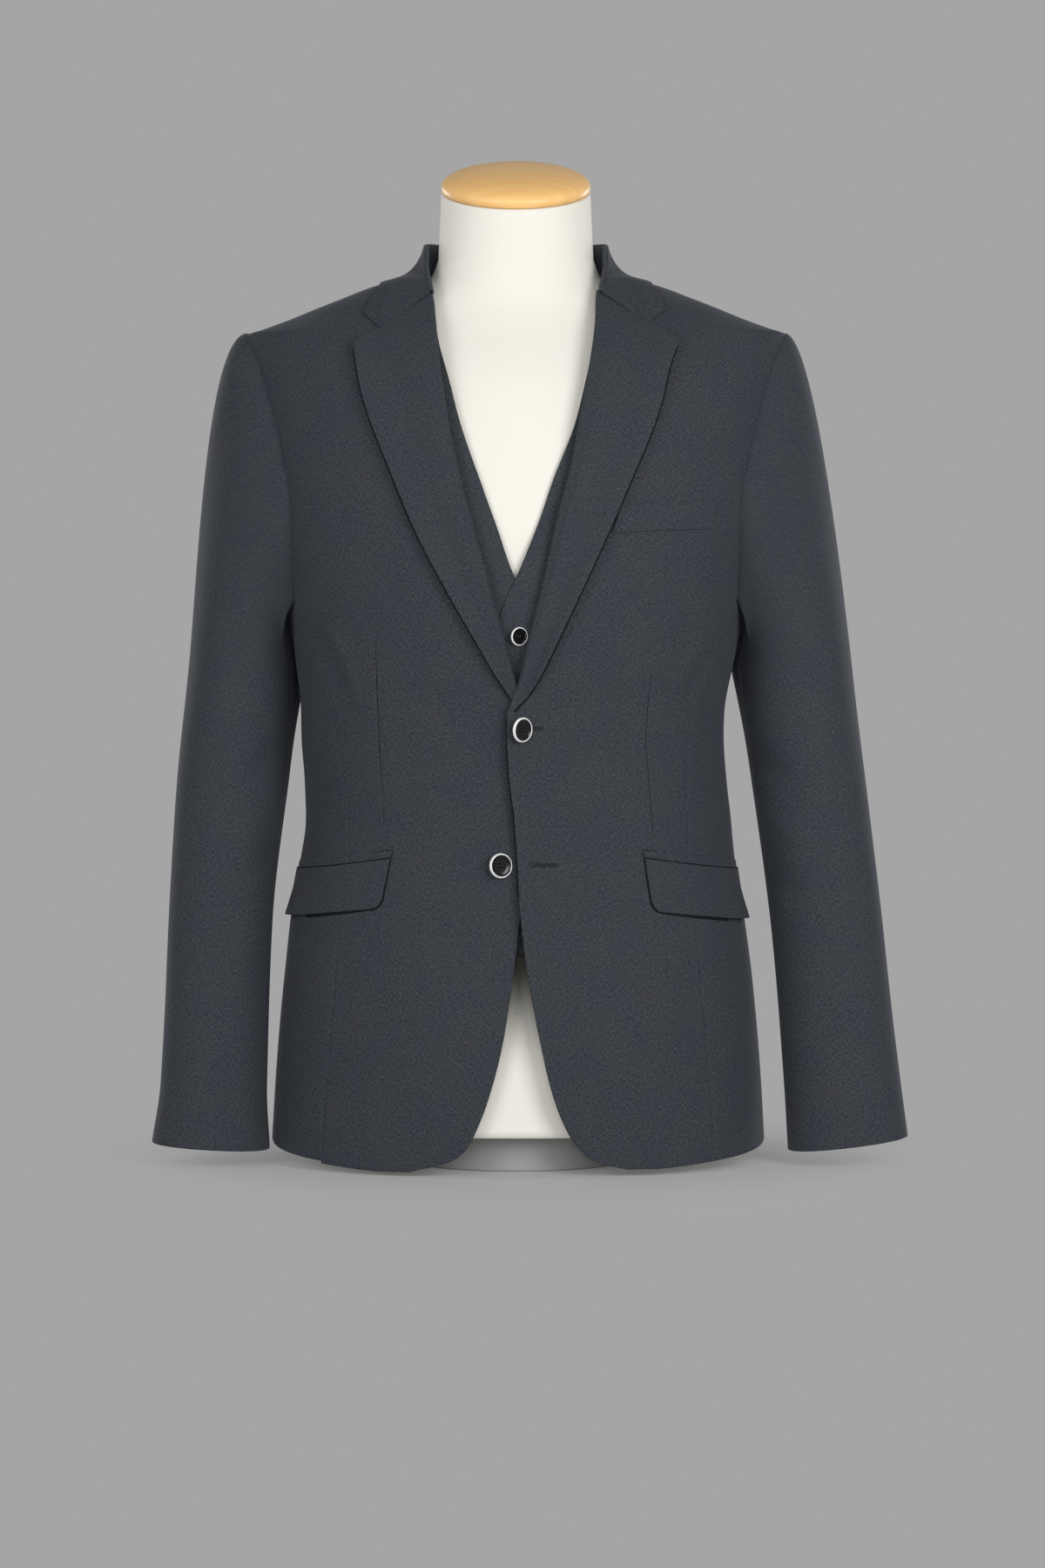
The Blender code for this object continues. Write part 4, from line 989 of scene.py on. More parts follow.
collarCut = {
    # way from the centre back (0) to the front end (1), fold x, y, z, stand's drop, edge turn, edge height
    "rows": [
        (0.00, 0.0000, 0.0755, 0.7530, 0.029, 180, 0.7060),
        (0.25, 0.0400, 0.0655, 0.7525, 0.029, 147, 0.7070),
        (0.50, 0.0665, 0.0350, 0.7510, 0.027, 120, 0.7115),
        (0.68, 0.0735, 0.0060, 0.7480, 0.023, 90, 0.7180),
        (0.82, 0.0735, -0.0220, 0.7335, 0.012, 74, 0.7100),
        (0.92, 0.0706, -0.0425, 0.7170, 0.003, 69, 0.6985),
        (1.00, 0.0682, -0.0588, 0.7060, 0.001, 64.5, 0.6858),
    ],
    "fold": 0.0017,
    "sag": 0.0085,
    "lay": 0.00125,
    "notchAt": 0.72,
    "notchFrom": 0.80,
    "tipFrom": 0.86,
    "sagPower": 0.7,
    "bend": 0.18,
    "probe": 0.01,
    "ways": [(0.8, 48), (1, 24)],  # end of each band of columns, and their number
    "columns": (10, 9, 34),  # stand, bend and leaf
}


def collarLine(side, way, across):
    # middle of the folded band: across -1..0 is the stand, 0..1 the leaf
    rows, fold, lay, probe = (collarCut[word] for word in ("rows", "fold", "lay", "probe"))
    line = lambda at: np.stack([glide(rows, k, at) for k in (1, 2, 3)], axis=-1)
    top, run = line(way), line(np.minimum(way + probe, 1)) - line(np.maximum(way - probe, 0))
    out = unit(np.stack([-run[..., 1], run[..., 0], 0 * way], axis=-1))
    out = np.where((way < 1e-6)[..., None], np.array([0.0, 1.0, 0.0]), out)
    up = np.array([0.0, 0.0, 1.0])
    spot = lambda x, z: onBody(turnAt(x, z + 0 * way), z + 0 * way, lay)
    edge = onBody(np.radians(glide(rows, 5, way)), glide(rows, 6, way), lay)
    edge = edge + (spot(*lapelCut["tip"][side]) - edge) * ease(collarCut["tipFrom"], 1.0, way)[..., None]
    inside = top - (out + up) * fold
    foot = inside - up * glide(rows, 4, way)[..., None]
    outside = top + (out - up) * fold
    notch, corner = collarCut["notchAt"], spot(*lapelCut["notch"][side])
    stand = foot + (inside - foot) * np.clip(1 + across, 0, 1)[..., None]
    bend = (np.clip(across / collarCut["bend"], 0, 1) * np.pi)[..., None]
    arc = top - up * fold - out * np.cos(bend) * fold + up * np.sin(bend) * fold
    leafWay = np.clip((across - collarCut["bend"]) / (1 - collarCut["bend"]), 0, 1)[..., None]
    straight = outside + (edge - outside) * leafWay
    first = outside + (corner - outside) * (leafWay / notch)
    second = corner + (edge - corner) * (leafWay - notch) / (1 - notch)
    near = ease(collarCut["notchFrom"], 1.0, way)[..., None]
    leaf = straight + (np.where(leafWay < notch, first, second) - straight) * near
    leaf = leaf - up * collarCut["sag"] * np.sin(np.pi * leafWay ** collarCut["sagPower"]) * (1 - near)
    bent = np.where((across < collarCut["bend"])[..., None], arc, above(leaf, lay))
    return np.where((across <= 0)[..., None], stand, bent)


def collar():
    stand, bend, leaf = collarCut["columns"]
    across = stepped(-1, [(0, stand), (collarCut["bend"], bend), (1, leaf)])
    halfWay, halfAcross = np.meshgrid(stepped(0, collarCut["ways"]), across, indexing="ij")
    middle, other = (collarLine(side, halfWay, halfAcross) for side in (left, right))
    sheet = np.concatenate([sided(other[:0:-1], -1), middle]).transpose(1, 0, 2)[::-1]
    sheet = settled(sheet + gridNormal(sheet) * cloth["leaf"] / 2, left)
    sewPiece("collarCloth", sheet, "collar")


for side in (left, right):
    lapel(side)
collar()
print("lapels and collar ready")

# pockets
pocketCut = {
    # corners as x, z seen from the front: top inner, top outer, bottom outer, bottom inner
    "flap": [(0.1015, 0.2510), (0.1780, 0.2390), (0.1835, 0.1975), (0.1083, 0.2095)],
    "jet": [(0.1000, 0.2568), (0.1765, 0.2448), (0.1772, 0.2399), (0.1010, 0.2519)],
    "welt": [(0.0835, 0.5305), (0.1580, 0.5345), (0.1565, 0.5140), (0.0765, 0.5095)],
    # columns, rows, lift over the cloth, thickness
    "grids": {
        "flap": (48, 24, 0.0008, cloth["leaf"]),
        "jet": (40, 6, 0.0004, 0.0011),
        "welt": (40, 14, 0.0003, 0.0012),
    },
    "size": (0.08, 0.042),
    "round": 0.006,
    "short": {left: 0.0, right: 0.0028},
    # how the flap's outer end stands off, and turns up a little
    "kick": 0.0055,
    "kickOut": (0.6, 0.95),
    "kickBack": (0.93, 1.0),
    "kickLeft": 0.9,
    "kickPower": 1.5,
    "turnUp": 0.03,
    "turnSpan": (0.80, 1.0),
}


def flapCorners(side):
    top, outer, low, inner = (np.array(spot) for spot in pocketCut["flap"])
    short = np.array([0, pocketCut["short"][side]])
    return top, outer, low + short, inner + short


def laidPiece(name, side, kind, corners, node):
    # flat piece on a front, from its four corners; a flap is round at its inner corner and loose below
    columns, rows, lift, thick = pocketCut["grids"][kind]
    loose, (wide, long) = int(kind == "flap"), pocketCut["size"]
    x, height = np.array(corners).T
    spots = np.stack([turnAt(x, height), height], axis=-1)
    across, down = np.meshgrid(np.linspace(0, 1, columns), np.linspace(1, 0, rows))
    corner = pocketCut["round"] * loose
    inset = np.clip(corner - across * wide, 0, None)
    trim = (corner - np.sqrt(np.maximum(corner**2 - inset**2, 0))) / long
    top = spots[0] + (spots[1] - spots[0]) * across[..., None]
    bottom = spots[3] + (spots[2] - spots[3]) * across[..., None]
    upturn = pocketCut["turnUp"] * loose * ease(*pocketCut["turnSpan"], across)
    spot = top + (bottom - top) * (down * (1 - trim) * (1 - upturn))[..., None]
    turn, height = spot[..., 0], spot[..., 1]
    kick = ease(*pocketCut["kickOut"], across) - pocketCut["kickLeft"] * ease(*pocketCut["kickBack"], across)
    kick = kick * pocketCut["kick"] * loose * down ** pocketCut["kickPower"]
    sheet = onBody(turn, height, lift + thick + kick + foldRise(side, turn, height))
    sewPiece(
        name, settled(sheet, side), node, thick=thick, uv=gridMap(sheet), mirrored=side == right,
    )


for side in (left, right):
    laidPiece("hipFlap" + sideWord[side], side, "flap", flapCorners(side), "hip_flap" + nodeWord[side])
    laidPiece("hipJet" + sideWord[side], side, "jet", pocketCut["jet"], "hip_jet" + nodeWord[side])
laidPiece("breastWelt", left, "welt", pocketCut["welt"], "breast_welt")
print("pockets ready")

# waistcoat
vestCut = {
    "depth": 0.0085,
    "lap": 0.0019,
    "lapOut": (0.020, 0.045),
    "lapUp": (0.478, 0.52),
    "sideGap": 0.002,
    "napeDip": 0.012,
    "napeUp": (0.690, 0.716),
    "napeOut": (0.3, 1.2),
    "side": 0.430,
    "bands": [(0.177, 0.42, 40), (0.42, 0.65, 60), (0.65, 0.716, 34)],
    "columns": {"front": 52, "back": 90},
    "armhole": [
        (0.430, 0.1830), (0.450, 0.1720), (0.480, 0.1580), (0.530, 0.1490),
        (0.600, 0.1460), (0.660, 0.1450), (0.690, 0.1430), (0.706, 0.1415),
    ],
    "hem": [(0, 0.177), (12, 0.178), (45, 0.196), (90, 0.212), (180, 0.205)],
    "hemFade": (0.17, 0.36),
    left: [
        (0.170, -0.0172), (0.428, -0.0172), (0.4362, -0.0143), (0.4555, -0.0075), (0.4735, 0.0008),
        (0.517, 0.0185), (0.553, 0.031), (0.600, 0.049), (0.633, 0.057), (0.674, 0.065), (0.700, 0.068),
        (0.712, 0.072), (0.7225, 0.078),
    ],
    right: [
        (0.170, -0.016), (0.447, -0.016), (0.4735, 0.0010), (0.517, 0.0165), (0.546, 0.027),
        (0.601, 0.046), (0.631, 0.0535), (0.673, 0.064), (0.700, 0.068), (0.712, 0.072), (0.7225, 0.078),
    ],
}


def vestLevels():
    return np.unique(np.concatenate([np.linspace(*band) for band in vestCut["bands"]]))


def vestRise(turn, height):
    line = glide(vestCut["hem"], 1, np.degrees(np.abs(turn))) - vestCut["hem"][0][1]
    return line * (1 - ease(*vestCut["hemFade"], height))


def vestArmhole(levels, behind):
    rows = vestCut["armhole"]
    edge = turnAt(glide(rows, 1, levels), levels, behind)
    return np.where((levels <= vestCut["side"]) | (levels >= rows[-1][0]), np.pi / 2, edge)


def vestFront(side):
    levels = vestLevels()
    start = turnAt(glide(vestCut[side], 1, levels), levels)
    stop = vestArmhole(levels, False) - vestCut["sideGap"]
    turn = start[:, None] + (stop - start)[:, None] * plainShares(vestCut["columns"]["front"])
    height = levels[:, None] + vestRise(turn, levels[:, None])
    x = body(turn, height)[..., 0]
    near = (1 - ease(*vestCut["lapOut"], x)) * (1 - ease(*vestCut["lapUp"], height)) * (side == left)
    sheet = onBody(turn, height, vestCut["lap"] * near - vestCut["depth"])
    sewPiece(
        "waistcoatFront" + sideWord[side], sided(sheet, side), "waistcoat_front" + nodeWord[side],
        cloth["lining"], vestWool, liningSatin, gridMap(sheet, start=x[:, 0]),
        mirrored=side == right,
    )


def vestBack():
    levels = vestLevels()
    start = vestArmhole(levels, True) + vestCut["sideGap"]
    turn = start[:, None] + (2 * np.pi - 2 * start)[:, None] * plainShares(vestCut["columns"]["back"])
    fromBack, level = np.abs(turn - np.pi), levels[:, None]
    dip = vestCut["napeDip"] * ease(*vestCut["napeUp"], level) * (1 - ease(*vestCut["napeOut"], fromBack))
    sheet = onBody(turn, level + vestRise(np.pi - fromBack, level) - dip, 0 * turn - vestCut["depth"])
    sewPiece("waistcoatBack", sheet, "waistcoat_back", cloth["lining"], liningSatin)


for side in (left, right):
    vestFront(side)
vestBack()
print("waistcoat ready")

# buttons
buttonCut = {
    # reach from the centre and height of the face, as shares of the radius and depth
    "profile": [
        (0.60, 0.00), (0.80, 0.03), (0.93, 0.14), (0.985, 0.30), (1.00, 0.46), (0.995, 0.66), (0.965, 0.86),
        (0.915, 0.98), (0.895, 1.00), (0.87, 0.965), (0.85, 0.89), (0.835, 0.80), (0.76, 0.70), (0.68, 0.62),
        (0.58, 0.575), (0.46, 0.56),
    ],
    "rim": (4, 10),
    "around": 72,
    "sharp": np.radians(38),
    "drill": {"around": 16, "ends": (-0.5, 1.5)},
    "jacket": {"radius": 0.0100, "depth": 0.0036, "hole": 0.00085, "spread": 0.0020},
    "vest": {"radius": 0.0075, "depth": 0.0028, "hole": 0.00070, "spread": 0.0016},
    # thread through the holes, and the thread neck behind the button
    "strand": {"radius": 0.00032, "steps": 15, "apart": 0.8, "bow": 0.00035, "sink": 0.0010, "end": 0.98},
    "neck": {"radius": 0.0009, "steps": 8, "apart": 0.0007, "deep": 0.0012, "back": 0.0006, "stop": 0.1},
}

fourWays = [(-1, -1), (-1, 1), (1, -1), (1, 1)]


def discRing(around, reach, radius, out):
    spot = [-np.sin(around) * reach * radius, 0 * around - out, np.cos(around) * reach * radius]
    return np.stack(spot, axis=-1)


def buttonMesh(size):
    # dished disc with a pale rim, drilled through by four holes; it faces -Y at the origin
    around = fullTurn(buttonCut["around"])
    rings = [
        discRing(around, reach, size["radius"], out * size["depth"]) for reach, out in buttonCut["profile"]
    ]
    first, last = buttonCut["rim"]
    slots = [int(first <= i < last) for i in range(len(rings) - 1)]
    disc = turnedShape("buttonBlank", rings, [blackHorn, paleRim], slots)
    around = fullTurn(buttonCut["drill"]["around"])
    drills = []
    for across, up in fourWays:
        centre = np.array([across, 0, up]) * size["spread"] / 2
        ends = [discRing(around, 1, size["hole"], out * size["depth"]) for out in buttonCut["drill"]["ends"]]
        drills.append(turnedShape("drill", centre + np.array(ends), [blackHorn]))
    for drill in drills:
        cut = disc.modifiers.new("drillHole", "BOOLEAN")
        cut.operation, cut.solver, cut.object = "DIFFERENCE", "EXACT", drill
    mesh = bpy.data.meshes.new_from_object(disc.evaluated_get(bpy.context.evaluated_depsgraph_get()))
    for waste in [disc, *drills]:
        bpy.data.objects.remove(waste)
    mesh.set_sharp_from_angle(angle=buttonCut["sharp"])
    return mesh


def tube(path, radius, sides=10):
    # rings round a short path of points, pointed at both ends
    path = np.array(path)
    run = unit(np.gradient(path, axis=0))
    aside = [0.31, 0.17, 0.94]  # any direction that the path doesn't take
    first = unit(np.cross(run, aside))
    second = np.cross(run, first)
    share = np.linspace(-1, 1, len(path))
    slim = np.sqrt(np.maximum(1 - np.abs(share) ** 6, 0.04))[:, None, None] * radius
    turn = fullTurn(sides)[None, :, None]
    return path[:, None] + (np.cos(turn) * first[:, None] + np.sin(turn) * second[:, None]) * slim


def buttonThreads(size, shank):
    # two crossings of two strands each, and a neck of two strands, in the button's own space
    strand, neck = buttonCut["strand"], buttonCut["neck"]
    half, face = size["spread"] / 2, -buttonCut["profile"][-1][1] * size["depth"]
    steps = np.linspace(-1, 1, strand["steps"])
    y = face - strand["bow"] * (1 - steps**6) + strand["sink"] * (np.abs(steps) > strand["end"])
    for across, nudge in fourWays:
        x = across * half + nudge * strand["radius"] * strand["apart"] + 0 * steps
        yield np.stack([x, y, steps * half], axis=-1), strand["radius"]
    deep = np.linspace(-neck["deep"] - shank, -neck["stop"] * size["depth"], neck["steps"])
    for across in (-1, 1):
        x = across * neck["apart"] + 0 * deep
        yield np.stack([x, -deep - neck["back"], 0 * deep], axis=-1), neck["radius"]


def buttonPiece(name, node, mesh, size, spot, facing, tip, shank):
    # tip turns the button about the upright through its centre, as a shank lets it
    wide = unit(np.cross(facing, [0, 0, 1.0]))
    wide, out = wide * np.cos(tip) + facing * np.sin(tip), facing * np.cos(tip) - wide * np.sin(tip)
    axes = np.stack([wide, -out, np.cross(wide, -out)])
    place = lambda p: p @ axes + spot + facing * shank
    placed = mesh.copy()
    points = np.zeros(len(placed.vertices) * 3)
    placed.vertices.foreach_get("co", points)
    placed.vertices.foreach_set("co", place(points.reshape(-1, 3)).ravel())
    placed.update()
    dress(newPiece(name, placed), [node])
    for i, (path, radius) in enumerate(buttonThreads(size, shank)):
        strand = turnedShape(name + "Thread" + str(i + 1), tube(place(path), radius), [sewingThread])
        dress(strand, [])


jacketButton, vestButton = buttonMesh(buttonCut["jacket"]), buttonMesh(buttonCut["vest"])
jacketButtons = [
    # name, node, front it lies on, x, height, tip in degrees, shank
    ("jacketButtonUpper", "jacket_button_upper", left, 0.0040, 0.3546, 42, 0.0022),
    ("jacketButtonLower", "jacket_button_lower", right, 0.0125, 0.2461, 28, 0.0012),
]
vestButtons = {
    "x": 0.0022, "top": 0.427, "apart": 0.053, "tips": (29, 8, 8, 8, 8), "shank": 0.0006, "lift": 0.0002,
}
buttonLift = 0.0004
for name, node, side, x, height, tip, shank in jacketButtons:
    x, height = np.array(x), np.array(height)
    spot, facing = onFront(side, x, height, buttonLift), sided(outward(body, turnAt(x, height), height), side)
    buttonPiece(name, node, jacketButton, buttonCut["jacket"], spot, facing, np.radians(tip), shank)
for i, tip in enumerate(vestButtons["tips"]):
    height = np.array(vestButtons["top"] - vestButtons["apart"] * i)
    turn = turnAt(np.array(vestButtons["x"]), height)
    spot = onBody(turn, height, vestCut["lap"] - vestCut["depth"] + vestButtons["lift"])
    name, node = "waistcoatButton" + str(i + 1), "waistcoat_button_" + str(i + 1)
    facing, tip = outward(body, turn, height), np.radians(tip)
    buttonPiece(name, node, vestButton, buttonCut["vest"], spot, facing, tip, vestButtons["shank"])
print("buttons ready")


# thread work and painted-shade cords that follow a path
def threadTree(name, sockets, build):
    tree = bpy.data.node_groups.new(name, "GeometryNodeTree")
    kinds = {"path": "Geometry", "seed": "Int", "finish": "Material"}
    for word in ("path", *sockets, "finish"):
        tree.interface.new_socket(word, in_out="INPUT", socket_type="NodeSocket" + kinds.get(word, "Float"))
    tree.interface.new_socket("work", in_out="OUTPUT", socket_type="NodeSocketGeometry")
    add = nodeAdder(tree)
    given = add("NodeGroupInput").outputs
    curve = add("GeometryNodeMeshToCurve", {"Mesh": given["path"]}).outputs[0]
    whole = add("GeometryNodeRealizeInstances", {0: build(add, given, curve)}).outputs[0]
    painted = add("GeometryNodeSetMaterial", {"Geometry": whole, "Material": given["finish"]}).outputs[0]
    add("NodeGroupOutput", {0: painted})
    return tree


def stitchNodes(add, given, curve):
    # one thread stitch per step, lying along the path's stored aim
    spots = add("GeometryNodeResampleCurve", {"Curve": curve, "Length": given["spacing"]}, mode="LENGTH")
    ball = add("GeometryNodeMeshUVSphere", {"Segments": 8, "Rings": 6, "Radius": 1.0}).outputs[0]
    width = given["halfWidth"]
    size = add("ShaderNodeCombineXYZ", {0: given["halfLength"], 1: width, 2: width}).outputs[0]
    stitch = add("GeometryNodeTransform", {"Geometry": ball, "Scale": size}).outputs[0]
    aim = add("GeometryNodeInputNamedAttribute", {"Name": "aim"}, data_type="FLOAT_VECTOR").outputs[0]
    turn = add("FunctionNodeAlignRotationToVector", {"Vector": aim}, axis="X").outputs[0]
    less = add("ShaderNodeMath", {0: 1.0, 1: given["jitter"]}, operation="SUBTRACT").outputs[0]
    more = add("ShaderNodeMath", {0: 1.0, 1: given["jitter"]}, operation="ADD").outputs[0]
    vary = add("FunctionNodeRandomValue", {2: less, 3: more, 8: given["seed"]}, data_type="FLOAT").outputs[1]
    return add("GeometryNodeInstanceOnPoints", {
        "Points": spots.outputs[0], "Instance": stitch, "Rotation": turn, "Scale": vary,
    }).outputs[0]


def cordNodes(add, given, curve):
    smooth = add("GeometryNodeResampleCurve", {"Curve": curve, "Length": given["spacing"]}, mode="LENGTH")
    circle = add("GeometryNodeCurvePrimitiveCircle", {"Resolution": 6, "Radius": given["halfWidth"]})
    return add("GeometryNodeCurveToMesh", {
        "Curve": smooth.outputs[0], "Profile Curve": circle.outputs[0], "Fill Caps": True,
    }).outputs[0]


stitchTree = threadTree("stitchRun", ("spacing", "halfLength", "halfWidth", "jitter", "seed"), stitchNodes)
cordTree = threadTree("cordRun", ("spacing", "halfWidth"), cordNodes)


def threadRun(name, tree, path, finish, sizes, aim=(1, 0, 0), closed=False):
    path = np.array(path)
    count = len(path)
    edges = [(i, (i + 1) % count) for i in range(count if closed else count - 1)]
    mesh = bpy.data.meshes.new(name + "Path")
    mesh.from_pydata([tuple(map(float, p)) for p in path], edges, [])
    layer = mesh.attributes.new("aim", "FLOAT_VECTOR", "POINT")
    layer.data.foreach_set("vector", (np.array(aim) + 0 * path).astype(np.float32).ravel())
    guide = newPiece(name + "Path", mesh)
    work = guide.modifiers.new("threadWork", "NODES")
    values = dict(sizes, finish=finish)
    work.node_group = tree
    for item in tree.interface.items_tree:
        if item.in_out == "INPUT" and item.name in values:
            work[item.identifier] = values[item.name]
    done = bpy.data.meshes.new_from_object(guide.evaluated_get(bpy.context.evaluated_depsgraph_get()))
    bpy.data.objects.remove(guide)
    done.name = name
    done.polygons.foreach_set("use_smooth", np.ones(len(done.polygons), bool))
    dress(newPiece(name, done), [])


cordSpacing = 0.0012
holeStitch = {"spacing": 0.00052, "halfLength": 0.00050, "halfWidth": 0.00017, "jitter": 0.12, "seed": 7}
holeCut = {
    "half": 0.00085, "eyeHalf": 0.0016, "steps": 24, "bend": 9, "lift": 0.00012,
    "slitWidth": 0.00045, "edgeOut": 0.00045, "edgeWidth": 0.00042, "edgeLift": 0.00002, "eyeAround": 20,
    # reach and rise of the eye's rings
    "eye": [(0.0017, -0.0004), (0.0016, 0.0004), (0.0013, 0.0007), (0.0002, 0.0008)],
}
buttonholes = [
    # name, inner x and height, outer x and height, lift of the cloth there, has an eye
    ("buttonholeUpper", (0.0060, 0.3550), (0.0209, 0.3550), 0.0, False),
    ("buttonholeLower", (0.0131, 0.2466), (0.0324, 0.2466), 0.0, True),
    ("buttonholeLapel", (0.1047, 0.6453), (0.0920, 0.6565), 0.0021, False),
]


# a dark cord, in the painted-shade wool unless another finish is given
def cordRun(name, spots, width, finish=paintedShade):
    threadRun(name, cordTree, spots, finish, {"spacing": cordSpacing, "halfWidth": width})


def buttonhole(name, inner, outer, lift, eye):
    start, run = np.array(inner), np.hypot(*np.subtract(outer, inner))
    way = np.subtract(outer, inner) / run
    side = np.array([-way[1], way[0]])
    half = holeCut["half"]
    first = holeCut["eyeHalf"] if eye else half
    onCloth = lambda flat, rise: onFront(left, flat[:, 0], flat[:, 1], lift + rise)
    steps = np.linspace(0, run, holeCut["steps"])
    bend = np.linspace(-np.pi / 2, np.pi / 2, holeCut["bend"])
    loop = [-np.cos(a) * first * way + np.sin(a) * first * side for a in bend[::-1]]
    loop += [t * way - half * side for t in steps[2:-1]]
    loop += [(run + np.cos(a) * half) * way + np.sin(a) * half * side for a in bend]
    loop = start + np.array(loop + [t * way + half * side for t in steps[-2:1:-1]])
    spots = onCloth(loop, holeCut["lift"])
    core = start + np.clip((loop - start) @ way, 0, run)[:, None] * way
    aim = unit(onCloth(core, holeCut["lift"]) - spots)
    threadRun(name, stitchTree, spots, twist, holeStitch, aim=aim, closed=True)
    # painted shade: black cords in the slit and just outside both stitched edges stand in for the dark cut
    # and the shadow beside the stitching
    line = start + steps[:, None] * way
    cordRun(name + "SlitShade", onCloth(line, 0), holeCut["slitWidth"], sewingThread)
    for word, offset in (("EdgeShadeLow", -1), ("EdgeShadeHigh", 1)):
        edge = line + side * offset * (half + holeCut["edgeOut"])
        cordRun(name + word, onCloth(edge, holeCut["edgeLift"]), holeCut["edgeWidth"], sewingThread)
    # painted shade: black thread rings fill the eye, standing in for its dark hole
    if eye:
        around = fullTurn(holeCut["eyeAround"])
        circle = np.stack([np.cos(around), np.sin(around)], axis=-1)
        rings = [onCloth(start + circle * reach, rise) for reach, rise in holeCut["eye"]]
        dress(turnedShape(name + "EyeShade", rings, [sewingThread]), [])


for row in buttonholes:
    buttonhole(*row)

# painted shadow beside the lapels' rims, round the hip flaps and beside the wearer's left front edge
edgeShades = {
    "steps": 90, "lapelRows": 118, "out": 0.0008, "halfWidth": 0.0011, "lift": 0.0003,
    "front": (0.222, 0.362), "frontOut": 0.0010, "bend": 0.008, "bendSkip": 6, "flapOut": 0.0003,
    "flapShare": 0.80,
}


def edgeShade(name, side, x, height):
    # painted shadow: a dark cord of the painted-shade wool laid just under a raised edge
    cordRun(name, onFront(side, x, height, edgeShades["lift"]), edgeShades["halfWidth"])


for side in (left, right):
    x, _, height = lapelRims[side][:edgeShades["lapelRows"]].T
    edgeShade("lapelShade" + sideWord[side], side, x + edgeShades["out"], height)
    # round the flap's inner corner and along its lower edge
    top, _, far, corner = flapCorners(side)
    share = np.linspace(0, 1, edgeShades["steps"])[:, None]
    start, stop = (
        corner + (end - corner) * (edgeShades["bend"] / np.hypot(*(end - corner))) for end in (top, far)
    )
    bend = start * (1 - share) ** 2 + 2 * corner * share * (1 - share) + stop * share**2
    upright, level = top + (start - top) * share, stop + (far - stop) * share * edgeShades["flapShare"]
    rim = np.concatenate([upright, bend[1:-1:edgeShades["bendSkip"]], level]) - edgeShades["flapOut"]
    edgeShade("flapShade" + sideWord[side], side, rim[:, 0], rim[:, 1])
height = np.linspace(*edgeShades["front"], edgeShades["steps"])
edgeShade("frontEdgeShade", right, edgeShades["frontOut"] - glide(frontCut[left], 1, height), height)

# painted shade along the seams: dark cords at the jets, the welt, the darts and the centre back
seamCut = {
    "steps": 60,
    # name, first and last corner of the jet, nudge in x and height, lift, half width
    "jet": [
        ("jetSeamShadeUpper", 0, 1, (0, 0.0007), 0.0006, 0.00060),
        ("jetSeamShadeLower", 3, 2, (0, -0.0005), 0.0021, 0.00058),
        ("jetSeamShadeEnd", 0, 3, (-0.0006, 0), 0.0005, 0.00035),
    ],
    "weltLift": 0.0006,
    "weltWidths": (0.00030, 0.00034, 0.00045, 0.00034),
    "dart": {"steps": 90, "deep": 0.00005, "halfWidth": 0.00020},
    "back": {"heights": (0.0145, 0.706), "steps": 140, "lift": 0.0003, "halfWidth": 0.00045},
}


def seamShadeLine(name, side, start, stop, lift, width):
    # painted shade: a fine dark cord where two pieces of cloth meet, standing in for the shadow in the seam
    share = np.linspace(0, 1, seamCut["steps"])[:, None]
    x, height = (np.array(start) + np.subtract(stop, start) * share).T
    cordRun(name + sideWord[side], onFront(side, x, height, lift), width)


for side in (left, right):
    jet = np.array(pocketCut["jet"])
    for name, first, last, nudge, lift, width in seamCut["jet"]:
        seamShadeLine(name, side, jet[first] + nudge, jet[last] + nudge, lift, width)
    dart = seamCut["dart"]
    height = np.linspace(frontCut["dartFoot"], frontCut["dartTop"][side], dart["steps"])
    x, deep = glide(frontCut["dart"], 1, height), frontCut["dartDepth"] + dart["deep"]
    cordRun("dartSeamShade" + sideWord[side], onFront(side, x, height, -deep), dart["halfWidth"])
welt = pocketCut["welt"]
for i, width in enumerate(seamCut["weltWidths"]):
    seamShadeLine("weltSeamShade" + str(i + 1), left, welt[i], welt[(i + 1) % 4], seamCut["weltLift"], width)
back = seamCut["back"]
height = np.linspace(*back["heights"], back["steps"])
cordRun("backSeamShade", settled(onBody(np.pi + 0 * height, height, back["lift"]), left), back["halfWidth"])
print("thread work ready")

